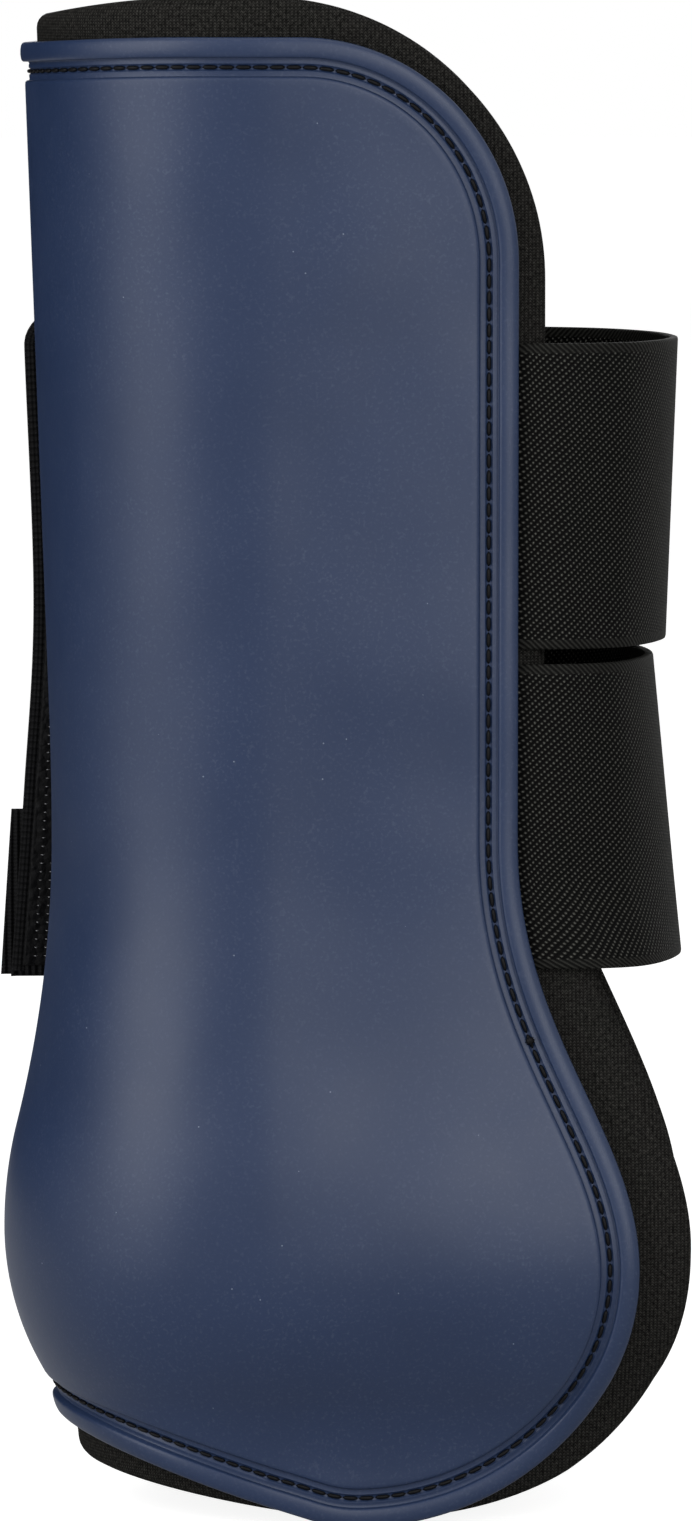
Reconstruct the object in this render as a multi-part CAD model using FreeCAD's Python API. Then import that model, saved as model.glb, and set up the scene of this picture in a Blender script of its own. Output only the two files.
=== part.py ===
"""Open-front tendon boot for a horse's foreleg: a moulded shell with a sewn soft liner and a wide closure.

The boot stands as it is worn. +Z is up the leg, +X points to the front of the leg, where the boot is open,
and -Y is the side that the closure straps are sewn to. The origin lies on the axis of the leg, level with
the lowest point of the shell. Lengths are in millimetres.

The shell is one wrap of soft moulding. Its upright profile is turned a little over half a turn behind the
tendon and then runs straight forward along both sides, so every layer of the boot is that same profile at
its own offset: the liner inside the shell, the loop pad and the fastener panel outside it. Each piece is
then cut to its outline in the side view. The straps cross the open front as loops of flat elastic.
"""

import math
import os

import FreeCAD
import Part

V = FreeCAD.Vector

# Heights of the wrap above the lowest point of the shell
shell_height = 241.2
neck_height = 108.0
fetlock_height = 48.0
hem_height = 8.0

# The wrap's profile, as distances from the upright axis that its round back is turned about
round_centre = -2.0
neck_radius = 35.6
fetlock_radius = 43.6
cannon_taper = 2.3
upper_waist_bend = 600.0
bulge_bend = 70.0
cup_bend = 47.0
cup_turn = 30.0
side_toe_in = 3.0

# The shell, whose edge carries a bead, a stitching channel and then the raised panel
shell_wall = 2.2
bead_width = 3.2
bead_rise = 0.9
channel_width = 3.0
channel_depth = 0.6

# The side outline of the shell
front_edge = 37.8
top_corner_length = 31.0
top_corner_height = 36.0
flare_start = 112.0
flare_lean = 27.0
bulb_reach = 57.5
bulb_height = 41.0
keel_x = 12.0
hem_bend_radius = 24.0
hem_slope = 18.0
back_top_drop = 1.8

# The liner, neoprene faced with jersey on both sides, and how far it shows past the shell
liner_thickness = 5.0
liner_rise = 6.5
liner_front_margin = 4.6
liner_bulb_margin = 8.6
liner_hem_inset = 0.6
liner_hem_slope = 8.7
liner_corner_length = 39.3
liner_corner_height = 44.2
liner_back_drop = 3.4

# The two elastic straps: the strap's width, its thickness, and how its loop stands in front of the boot
strap_width = 49.5
strap_thickness = 1.4
strap_gap = 2.4
strap_top = 192.6
strap_tail_length = 9.0
upper_loop_reach = 63.0
lower_loop_reach = 63.4
near_bend_x = 43.4
near_bend_x_low = 51.0
far_bend_x = 35.0
near_corner_bend = 8.0
far_corner_bend = 17.0
fold_clearance = 0.5
butt_clearance = 0.5
running_gap = 0.4

# The fastener on the far side: a loop pad on the shell, and the panel that grips it
loop_pad_thickness = 1.6
loop_pad_front = 28.0
loop_pad_back = -14.0
hook_thickness = 1.3
backing_thickness = 0.9
panel_front = 23.0
panel_back = -41.2
panel_back_at_corner = -42.4
panel_toe = -46.6
panel_waist_height = 141.0
panel_above = 1.2
panel_below = 4.6
panel_corner_length = 13.0
panel_corner_height = 9.0
hook_border = 2.2
strap_end_length = 18.0
pull_tab_height = 28.0
pull_tab_length = 16.0
pull_tab_thickness = 1.2

# How far the working blanks run past what is cut from them
blank_margin = 6.0
far_out = 90.0

wrap_top = shell_height + liner_rise + blank_margin
wrap_bottom = -blank_margin
straps_bottom = strap_top - 2 * strap_width - strap_gap
toe_in = math.radians(side_toe_in)
liner_outer = -shell_wall
liner_inner = liner_outer - liner_thickness
hook_low = loop_pad_thickness + running_gap
backing_low = hook_low + hook_thickness
ends_low = backing_low + backing_thickness

# The profile's arcs: where each begins and the bend of the two that join the named ones
taper = math.radians(cannon_taper)
turn = math.radians(cup_turn)
waist_to_bulge = neck_height - fetlock_height
waist_growth = fetlock_radius - neck_radius
lower_waist_bend = (waist_growth**2 + waist_to_bulge**2) / (2 * waist_growth) - bulge_bend
hem_flick_bend = (fetlock_height - hem_height) / math.sin(turn) - cup_bend
hem_radius = fetlock_radius - (cup_bend + hem_flick_bend) * (1 - math.cos(turn))


def profile_arcs():
    """The wrap's arcs from the top down: centre radius, centre height, bend and the turns it spans.

    A positive bend swells outwards and a negative one is a waist. Turns are from level, positive upwards.
    """
    bulge_turn = math.asin(waist_to_bulge / (lower_waist_bend + bulge_bend))
    return [
        (neck_radius + upper_waist_bend, neck_height, -upper_waist_bend, -taper, 0.0),
        (neck_radius + lower_waist_bend, neck_height, -lower_waist_bend, 0.0, bulge_turn),
        (fetlock_radius - bulge_bend, fetlock_height, bulge_bend, bulge_turn, 0.0),
        (fetlock_radius - cup_bend, fetlock_height, cup_bend, 0.0, -turn),
        (hem_radius + hem_flick_bend, hem_height, -hem_flick_bend, -turn, 0.0),
    ]


def arc_point(arc, angle, offset):
    """The point (radius, height) of an arc at one of its turns, with the arc grown outwards by offset."""
    centre_radius, centre_height, bend, _, _ = arc
    reach = bend + offset
    return centre_radius + reach * math.cos(angle), centre_height + reach * math.sin(angle)


def profile_edges(offset):
    """The wrap's upright profile at an offset, behind the boot, from its top to its bottom."""

    def place(point):
        return V(round_centre - point[0], 0, point[1])

    arcs = profile_arcs()
    first = arc_point(arcs[0], arcs[0][3], offset)
    rise = wrap_top - first[1]
    edges = [Part.makeLine(place((first[0] + rise * math.tan(taper), wrap_top)), place(first))]
    for arc in arcs:
        start, end = arc[3], arc[4]
        points = [arc_point(arc, angle, offset) for angle in (start, 0.5 * (start + end), end)]
        edges.append(Part.Arc(*[place(p) for p in points]).toShape())
    last = arc_point(arcs[-1], 0.0, offset)
    edges.append(Part.makeLine(place(last), place((last[0], wrap_bottom))))
    return edges


def wrap_radius(z):
    """Distance of the wrap's outer face from the axis of its round back, at height z."""
    for centre_radius, centre_height, bend, start, end in profile_arcs():
        heights = sorted(centre_height + bend * math.sin(angle) for angle in (start, end))
        if heights[0] <= z <= heights[1]:
            reach = math.sqrt(bend * bend - (z - centre_height) ** 2)
            return centre_radius + math.copysign(reach, bend)
    if z < hem_height:
        return hem_radius
    arc = profile_arcs()[0]
    radius, height = arc_point(arc, arc[3], 0.0)
    return radius + (z - height) * math.tan(taper)


def side_y(x, z, offset):
    """Distance of the wrap's straight side from the mid-plane at (x, z), grown by offset."""
    return (wrap_radius(z) + offset - (x - round_centre) * math.sin(toe_in)) / math.cos(toe_in)


def profile_face(outer_offset, inner_offset):
    """The cross-section of one layer of the wrap, behind the boot."""
    outer = profile_edges(outer_offset)
    inner = profile_edges(inner_offset)
    top = Part.makeLine(inner[0].Vertexes[0].Point, outer[0].Vertexes[0].Point)
    bottom = Part.makeLine(outer[-1].Vertexes[-1].Point, inner[-1].Vertexes[-1].Point)
    return Part.Face(Part.Wire(outer + [bottom] + inner[::-1] + [top]))


def side_layer(outer_offset, inner_offset, side, back_run):
    """A layer along the near (-1) or far (+1) side, straight from back_run behind the turn to the front."""
    face = profile_face(outer_offset, inner_offset)
    face.rotate(V(round_centre, 0, 0), V(0, 0, 1), -side * (90 + side_toe_in))
    ahead = V(math.cos(toe_in), -side * math.sin(toe_in), 0)
    face.translate(ahead * -back_run)
    return face.extrude(ahead * (back_run + far_out))


def layer(outer_offset, inner_offset):
    """The wrap as a solid layer between two offsets, over its whole height, before its outline is cut."""
    face = profile_face(outer_offset, inner_offset)
    face.rotate(V(round_centre, 0, 0), V(0, 0, 1), -(90 + side_toe_in))
    back = face.revolve(V(round_centre, 0, 0), V(0, 0, 1), 2 * (90 + side_toe_in))
    sides = [side_layer(outer_offset, inner_offset, side, 0) for side in (-1, 1)]
    return back.fuse(sides)


def spline(points):
    """A smooth edge through points (x, z) of the side view."""
    curve = Part.BSplineCurve()
    curve.interpolate([V(x, 0, z) for x, z in points])
    return curve.toShape()


def line(a, b):
    """A straight edge in the side view."""
    return Part.makeLine(V(a[0], 0, a[1]), V(b[0], 0, b[1]))


def quarter(start, corner, end):
    """A quarter of an ellipse from start to end, inside the corner where its end tangents meet."""
    curve = Part.BSplineCurve()
    curve.buildFromPolesMultsKnots([start, corner, end], [3, 3], [0, 1], False, 2, [1, math.sqrt(0.5), 1])
    return curve.toShape()


def round_corner(start, corner, end):
    """A quarter of an ellipse in the side view."""
    return quarter(*[V(x, 0, z) for x, z in (start, corner, end)])


def flare(top, middle, bottom):
    """The front edge's sweep from the straight cannon edge out to the fetlock bulb, upright at both ends."""
    curve = Part.BSplineCurve()
    points = [V(p[0], 0, p[1]) for p in (top, middle, bottom)]
    curve.interpolate(Points=points, InitialTangent=V(0, 0, -1), FinalTangent=V(0, 0, -1))
    return curve.toShape()


def outline_prism(edges):
    """A side outline extruded right through the boot."""
    face = Part.Face(Part.Wire(Part.__sortEdges__(edges)))
    face.translate(V(0, -far_out, 0))
    return face.extrude(V(0, 2 * far_out, 0))


def shell_edges(inset):
    """The shell's side outline, taken in by inset.

    Its back lies behind the boot, because the shell has no edge there.
    """
    top = shell_height - inset
    edge = front_edge - inset
    top_start = (front_edge - top_corner_length, top)
    corner_end = (edge, shell_height - top_corner_height)
    flare_turn = math.radians(flare_lean)
    flare_middle = (
        0.62 * front_edge + 0.38 * bulb_reach - inset * math.cos(flare_turn),
        0.55 * flare_start + 0.45 * bulb_height - 3.4 - inset * math.sin(flare_turn),
    )
    bulb = (bulb_reach - inset, bulb_height)
    slope = math.radians(hem_slope)
    reach = hem_bend_radius - inset
    bend, half_bend = [
        (keel_x - reach * math.sin(angle), hem_bend_radius - reach * math.cos(angle))
        for angle in (slope, 0.5 * slope)
    ]
    hem_back = (-far_out, bend[1] + (bend[0] + far_out) * math.tan(slope))
    top_back = (-far_out, top - 2 * back_top_drop)
    top_mid = (0.5 * (top_start[0] - far_out) + 20, top - 0.35 * back_top_drop)
    hem_bend = Part.Arc(V(keel_x, 0, inset), V(half_bend[0], 0, half_bend[1]), V(bend[0], 0, bend[1]))
    return [
        spline([top_back, top_mid, top_start]),
        round_corner(top_start, (edge, top), corner_end),
        line(corner_end, (edge, flare_start)),
        flare((edge, flare_start), flare_middle, bulb),
        round_corner(bulb, (bulb[0], inset), (keel_x, inset)),
        hem_bend.toShape(),
        line(bend, hem_back),
        line(hem_back, top_back),
    ]


def liner_edges():
    """The liner's side outline, a little larger than the shell's, most of all in front of the fetlock."""
    top = shell_height + liner_rise
    edge = front_edge + liner_front_margin
    reach = bulb_reach + liner_bulb_margin
    bulb = (reach, bulb_height + 3.5)
    low = liner_hem_inset
    top_start = (edge - liner_corner_length, top)
    corner_end = (edge, top - liner_corner_height)
    flare_middle = (0.47 * edge + 0.53 * reach, 0.55 * flare_start + 0.45 * bulb[1] - 2.0)
    hem_start = (keel_x - 6.0, low + 0.4)
    rise = math.tan(math.radians(liner_hem_slope)) * (hem_start[0] + far_out)
    hem_back = (-far_out, hem_start[1] + rise)
    top_back = (-far_out, top - 3.2 * liner_back_drop)
    top_mid = (0.5 * (top_start[0] - far_out) + 12, top - 0.12 * liner_back_drop)
    return [
        spline([top_back, top_mid, top_start]),
        round_corner(top_start, (edge, top), corner_end),
        line(corner_end, (edge, flare_start)),
        flare((edge, flare_start), flare_middle, bulb),
        round_corner(bulb, (reach, low), (keel_x, low)),
        line((keel_x, low), hem_start),
        line(hem_start, hem_back),
        line(hem_back, top_back),
    ]


def make_shell():
    """The moulded shell: a bead along its edge, a sunk stitching channel and the plain panel inside it."""
    inside_bead = outline_prism(shell_edges(bead_width))
    inside_channel = outline_prism(shell_edges(bead_width + channel_width))
    above_rim = 3 * bead_rise
    blank = layer(bead_rise, -shell_wall).common(outline_prism(shell_edges(0.0)))
    channel = layer(above_rim, -channel_depth).common(inside_bead).cut(inside_channel)
    panel = layer(above_rim, 0.0).common(inside_channel)
    return blank.cut(channel).cut(panel)


def make_tail(top):
    """The sewn end of a strap, held between the shell's bead and the liner."""
    block = Part.makeBox(strap_tail_length, far_out, strap_width)
    block.translate(V(front_edge - strap_tail_length, -far_out, top - strap_width))
    return side_layer(liner_outer, liner_outer - strap_thickness, -1, 0).common(block)


def make_liner(tails):
    """The liner, with a bed pressed into it for each strap's sewn tail."""
    return layer(liner_outer, liner_inner).common(outline_prism(liner_edges())).cut(tails)


def plan_arc(centre, radius, start, end, z):
    """An arc in plan at height z about centre, between two angles."""
    angles = (start, 0.5 * (start + end), end)
    points = [V(centre[0] + radius * math.cos(t), centre[1] + radius * math.sin(t), z) for t in angles]
    return Part.Arc(*points).toShape()


def strap_half(name, side, bend_x, end_x, gap, corner_bend):
    """One half of a strap's loop as an upright band.

    It runs straight along the boot's side and turns the corner in two arcs that meet smoothly. The second,
    flatter arc is centred on the mid-plane, so the two halves meet square at the fold. The band stands clear
    of the widest level that it crosses.
    """
    top, reach, _ = straps[name]
    low_z = top - strap_width
    level = max((low_z, top), key=wrap_radius)
    depth = reach - strap_thickness - bend_x
    bend_y = side_y(bend_x, level, gap)
    across = bend_y - corner_bend
    front_bend = (depth**2 + across**2 - corner_bend**2) / (2 * (depth - corner_bend))
    front_centre = bend_x + depth - front_bend
    meeting = math.atan2(across, bend_x - front_centre)
    faces = []
    for grown in (0.0, strap_thickness):
        end = V(end_x, side * side_y(end_x, level, gap + grown), low_z)
        bend = V(bend_x, side * (bend_y + grown), low_z)
        tip = math.asin(0.5 * fold_clearance / (front_bend + grown))
        corner_centre = (bend_x, side * across)
        corner = plan_arc(corner_centre, corner_bend + grown, side * math.pi / 2, side * meeting, low_z)
        front = plan_arc((front_centre, 0), front_bend + grown, side * meeting, side * tip, low_z)
        faces.append([Part.makeLine(end, bend), corner, front])
    inner, outer = faces
    tip_edge = Part.makeLine(inner[2].Vertexes[-1].Point, outer[2].Vertexes[-1].Point)
    butt_edge = Part.makeLine(outer[0].Vertexes[0].Point, inner[0].Vertexes[0].Point)
    section = Part.Face(Part.Wire(inner + [tip_edge] + outer[::-1] + [butt_edge]))
    return section.extrude(V(0, 0, strap_width))


def make_strap(name):
    """The near and far halves of one strap, with the near one notched to the shell's edge."""
    near = strap_half(name, -1, straps[name][2], front_edge, liner_outer + running_gap, near_corner_bend)
    far = strap_half(name, 1, far_bend_x, panel_front + butt_clearance, ends_low, far_corner_bend)
    notch = outline_prism(shell_edges(0.0))
    notch.translate(V(butt_clearance, 0, 0))
    return near.cut(notch), far


def panel_edges(border):
    """The fastener panel's side outline, taken in by a border.

    It is square in front, round at its upper back corner and toed out below.
    """
    top = strap_top + panel_above - border
    low = straps_bottom - panel_below + border
    front = panel_front - border
    corner_x = panel_back_at_corner + border
    corner_low = top - panel_corner_height + border
    corner_front = corner_x + panel_corner_length - border
    toe_x = panel_toe + border
    toe_middle = (0.6 * panel_back + 0.4 * panel_toe + border, 0.62 * panel_waist_height + 0.38 * low)
    waist = (panel_back + border, panel_waist_height)
    return [
        line((toe_x, low), (front, low)),
        line((front, low), (front, top)),
        line((front, top), (corner_front, top)),
        round_corner((corner_front, top), (corner_x, top), (corner_x, corner_low)),
        spline([(corner_x, corner_low), waist, toe_middle, (toe_x, low)]),
    ]


def panel_layer(low_offset, high_offset):
    """A flat layer of the fastener panel, which runs straight along the far side and past its back."""
    return side_layer(high_offset, low_offset, 1, far_out)


def make_closure():
    """The panel's hook tape, its woven backing, the ends of both straps and the pull tab."""
    made = {
        "hook_tape": panel_layer(hook_low, backing_low).common(outline_prism(panel_edges(hook_border))),
        "closure_backing": panel_layer(backing_low, ends_low).common(outline_prism(panel_edges(0.0))),
    }
    for name, (top, *_) in straps.items():
        block = Part.makeBox(strap_end_length, far_out, strap_width)
        block.translate(V(panel_front - strap_end_length, 0, top - strap_width))
        made[name + "_end"] = panel_layer(ends_low, ends_low + strap_thickness).common(block)
    tab = Part.makeBox(pull_tab_length, far_out, pull_tab_height)
    tab.translate(V(panel_toe + 0.6, 0, straps_bottom - panel_below))
    made["pull_tab"] = panel_layer(ends_low, ends_low + pull_tab_thickness).common(tab)
    return made


def make_loop_pad():
    """The loop pad sewn to the far side of the shell."""
    block = Part.makeBox(loop_pad_front - loop_pad_back, far_out, strap_top - straps_bottom)
    block.translate(V(loop_pad_back, 0, straps_bottom))
    return layer(loop_pad_thickness, 0).common(block)


def save(name, shape):
    """Write one piece as a solid, and print its volume for a quick look."""
    solids = [s for s in shape.Solids if s.Volume > 0.5]
    piece = solids[0] if len(solids) == 1 else Part.makeCompound(solids)
    piece.exportStep(f"parts/{name}.step")
    print(name, "solids", len(solids), "volume", round(piece.Volume, 1), "valid", piece.isValid())


# Each strap's top, how far its loop reaches, and where its near half turns
straps = {
    "upper_strap": (strap_top, upper_loop_reach, near_bend_x),
    "lower_strap": (strap_top - strap_width - strap_gap, lower_loop_reach, near_bend_x_low),
}


def main():
    os.makedirs("parts", exist_ok=True)
    tails = {name: make_tail(strap[0]) for name, strap in straps.items()}
    save("shell", make_shell())
    save("liner", make_liner(list(tails.values())))
    for name, shape in tails.items():
        save(name + "_tail", shape)
    for name in straps:
        near, far = make_strap(name)
        save(name + "_near", near)
        save(name + "_far", far)
    save("loop_pad", make_loop_pad())
    for name, shape in make_closure().items():
        save(name, shape)


main()
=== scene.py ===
"""Looks of an open-front tendon boot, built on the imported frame.

Every layer of the boot is one upright profile carried round the leg at its own offset. The profile is turned
about an upright axis behind the tendon and runs forward along both sides. Each piece is a sheet of that wrap,
trimmed by its outline in the side view. Sizes are in millimetres until a mesh is written.
"""

from __future__ import annotations

import logging
import math
from collections.abc import Callable, Sequence
from dataclasses import dataclass, field
from enum import Enum

import bmesh
import bpy
import numpy as np
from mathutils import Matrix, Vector

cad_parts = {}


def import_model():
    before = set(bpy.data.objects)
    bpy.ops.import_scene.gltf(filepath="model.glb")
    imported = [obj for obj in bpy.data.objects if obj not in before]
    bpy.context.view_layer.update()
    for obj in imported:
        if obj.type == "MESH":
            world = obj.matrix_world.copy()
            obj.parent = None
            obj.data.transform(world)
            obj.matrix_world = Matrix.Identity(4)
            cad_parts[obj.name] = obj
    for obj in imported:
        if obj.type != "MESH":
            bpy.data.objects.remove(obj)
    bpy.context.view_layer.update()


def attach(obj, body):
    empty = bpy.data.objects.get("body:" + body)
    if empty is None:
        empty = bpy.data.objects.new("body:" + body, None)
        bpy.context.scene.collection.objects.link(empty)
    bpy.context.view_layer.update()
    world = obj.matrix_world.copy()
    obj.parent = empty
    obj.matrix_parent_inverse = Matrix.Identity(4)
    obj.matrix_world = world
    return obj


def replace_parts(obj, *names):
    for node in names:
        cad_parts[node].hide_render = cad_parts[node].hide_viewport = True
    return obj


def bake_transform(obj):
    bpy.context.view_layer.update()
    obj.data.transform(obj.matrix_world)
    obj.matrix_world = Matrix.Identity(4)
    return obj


log = logging.getLogger("tendon_boot")

MM = 0.001
CLOTH_MAP = "cloth"

# Points on a quarter ellipse, and the number of its middle one, where two edges of a sheet meet.
CORNER_POINTS = 41
CORNER_MIDDLE = CORNER_POINTS // 2

# Metres within which points are joined, and below which an edge has no length.
JOIN_DISTANCE = 2e-6
FLAT_DISTANCE = 1e-7

# Millimetres over and under a height between which the wrap's slope is taken.
SLOPE_STEP = 0.05

# Rounds that settle an edge on the round back, and millimetres behind the back's axis where that begins.
SETTLING_ROUNDS = 12
BACK_OVERLAP = 0.5

# Points at which the flare is read off.
EDGE_SAMPLES = 80

# Number of a mixing node's colour output.
MIXED_COLOUR = 2

# Millimetres that a place further forward counts for, where two are as good.
FORWARD_CHOICE = 0.001

# The shell's edge profile as steps in and out, each stretch from its own corner of the cross-section.
PANEL_SHOULDER = ((1.6, 0.0), (0.7, 0.0), (0.3, -0.06), (0.08, -0.28))
CHANNEL_CORNER = ((0.0, 0.0), (-0.2, -0.06))
SEAM_GROOVE = ((0.6, 0.0), (0.42, -0.22), (0.0, -0.34), (-0.42, -0.22), (-0.6, 0.0))
BEAD_FOOT = ((0.6, 0.0), (0.25, -0.1), (0.0, 0.05))

# Shares of the bead's width and rise, of the edge's rounding, and of the selvedge's rounding and thickness.
BEAD_FALL = ((0.9875, 0.3), (0.93125, 0.72), (0.8125, 0.95))
BEAD_CROWN = BEAD_FALL + ((0.6, 1.08), (0.36, 1.02), (0.16, 0.78), (0.04, 0.35))
INNER_EDGE = ((0.0, 1.0), (0.3, 0.3), (1.0, 0.0))
SELVEDGE_EASE = (0.25, 0.06, 0.0, 0.06, 0.25)
SELVEDGE_RISE = (0.93, 0.75, 0.5, 0.25, 0.07)

Grid = np.ndarray
Point = tuple[float, float]
Colour = tuple[float, float, float, float]

Material = bpy.types.Material
Mesh = bpy.types.Mesh
Node = bpy.types.Node
Object = bpy.types.Object
Socket = bpy.types.NodeSocket
Tree = bpy.types.NodeTree
Source = Node | Socket
Placer = Callable[[Grid, Grid, Grid], Grid]


class Side(Enum):
    """The two sides of the boot: the straps are sewn to the near one and close on the far one."""

    NEAR = -1.0
    FAR = 1.0


def lengths_along(points: Grid) -> Grid:
    """Running length of a polyline.

    Args:
        points: Array (n, d) of points in order.

    Returns:
        Array (n,) with the distance travelled to each point.
    """
    steps = np.linalg.norm(np.diff(points, axis=0), axis=1)
    return np.concatenate([[0.0], np.cumsum(steps)])


def resample(points: Grid, count: int) -> Grid:
    """The same polyline with evenly spaced points.

    Args:
        points: Array (n, d).
        count: Number of points wanted.

    Returns:
        Array (count, d), by linear interpolation on the running length.
    """
    run = lengths_along(points)
    wanted = np.linspace(0.0, run[-1], count)
    return np.stack([np.interp(wanted, run, points[:, k]) for k in range(points.shape[1])], axis=1)


def smooth_path(controls: Grid, per_span: int) -> Grid:
    """A Catmull-Rom curve through control points.

    Args:
        controls: Array (k, ..., d), one control point or row of points per step.
        per_span: Samples on each span.

    Returns:
        Array ((k - 1) * per_span + 1, ..., d). Each span is the cubic whose end slopes are half the chord
        between the neighbours on both sides.
    """
    first = 2 * controls[:1] - controls[1:2]
    last = 2 * controls[-1:] - controls[-2:-1]
    p = np.concatenate([first, controls, last])
    spans = len(controls) - 1
    t = (np.arange(per_span) / per_span).reshape((1, per_span) + (1,) * (controls.ndim - 1))
    p0, p1, p2, p3 = (p[k : k + spans][:, None] for k in range(4))
    slope = (p2 - p0) * t
    square = (2 * p0 - 5 * p1 + 4 * p2 - p3) * t**2
    cube = (3 * p1 - p0 - 3 * p2 + p3) * t**3
    curve = 0.5 * (2 * p1 + slope + square + cube)
    curve = curve.reshape((spans * per_span,) + controls.shape[1:])
    return np.concatenate([curve, controls[-1:]])


def quarter_ellipse(start: Point, corner: Point, end: Point, fullness: float = 1.0) -> Grid:
    """A quarter of an ellipse from start to end inside the corner where its end tangents meet.

    Args:
        start: First point, in the plane.
        corner: Where the tangents at both ends meet.
        end: Last point.
        fullness: Power of the cosine and sine. Under 1 the curve fills more of the corner.

    Returns:
        Array (CORNER_POINTS, 2): end + start - corner is the centre, and cosine and sine carry the half axes.
    """
    start_v, corner_v, end_v = (np.array(p) for p in (start, corner, end))
    centre = start_v + end_v - corner_v
    turn = np.linspace(0.0, math.pi / 2, CORNER_POINTS)[:, None]
    fall, rise = (np.maximum(wave, 0.0) ** fullness for wave in (np.cos(turn), np.sin(turn)))
    return centre + (start_v - centre) * fall + (end_v - centre) * rise


@dataclass(frozen=True)
class Patch:
    """A grid of surface points with the flat cloth coordinates of each, both in millimetres."""

    points: Grid
    cloth: Grid


def link(name: str, mesh: Mesh, material: Material) -> Object:
    """Put a mesh into the scene as an object at the origin.

    Args:
        name: Name of the object.
        mesh: Its mesh.
        material: Its finish.

    Returns:
        The object.
    """
    mesh.materials.append(material)
    made = bpy.data.objects.new(name, mesh)
    bpy.context.scene.collection.objects.link(made)
    return made


def grid_faces(rows: int, columns: int, base: int) -> Grid:
    """Corner numbers of a grid's quads.

    Args:
        rows: Points down the grid.
        columns: Points across it.
        base: Number of its first point.

    Returns:
        Array ((rows - 1) * (columns - 1), 4).
    """
    corner = base + np.arange(rows - 1)[:, None] * columns + np.arange(columns - 1)[None, :]
    corner = corner.reshape(-1)
    return np.stack([corner, corner + 1, corner + columns + 1, corner + columns], axis=1)


def piece(name: str, patches: Sequence[Patch], material: Material, crease: float = 50.0) -> Object:
    """One closed piece from patches that meet edge to edge.

    Args:
        name: Name of the object.
        patches: Grids whose shared edges have the same points.
        material: Its finish.
        crease: Angle in degrees past which an edge is drawn sharp.

    Returns:
        The object, at the origin, with a UV map in metres of cloth.
    """
    faces = []
    base = 0
    for grid in patches:
        rows, columns = grid.points.shape[:2]
        faces.append(grid_faces(rows, columns, base))
        base += rows * columns
    corners = np.concatenate(faces)
    points = np.concatenate([g.points.reshape(-1, 3) for g in patches]) * MM
    cloth = np.concatenate([g.cloth.reshape(-1, 2) for g in patches]) * MM
    mesh = bpy.data.meshes.new(name)
    mesh.vertices.add(len(points))
    mesh.vertices.foreach_set("co", points.astype(np.float32).ravel())
    mesh.loops.add(corners.size)
    mesh.loops.foreach_set("vertex_index", corners.astype(np.int32).ravel())
    mesh.polygons.add(len(corners))
    mesh.polygons.foreach_set("loop_start", np.arange(0, corners.size, 4, dtype=np.int32))
    mesh.update(calc_edges=True)
    uv = mesh.uv_layers.new(name=CLOTH_MAP)
    uv.data.foreach_set("uv", cloth[corners.ravel()].astype(np.float32).ravel())
    close_mesh(mesh)
    mesh.shade_smooth()
    mesh.set_sharp_from_angle(angle=math.radians(crease))
    return link(name, mesh, material)


def close_mesh(mesh: Mesh) -> None:
    """Join patches that share points, drop faces without area and point all faces outwards.

    Args:
        mesh: The mesh to mend, in metres.
    """
    work = bmesh.new()
    work.from_mesh(mesh)
    bmesh.ops.remove_doubles(work, verts=work.verts, dist=JOIN_DISTANCE)
    bmesh.ops.dissolve_degenerate(work, edges=work.edges, dist=FLAT_DISTANCE)
    bmesh.ops.recalc_face_normals(work, faces=work.faces)
    work.to_mesh(mesh)
    work.free()


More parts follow.
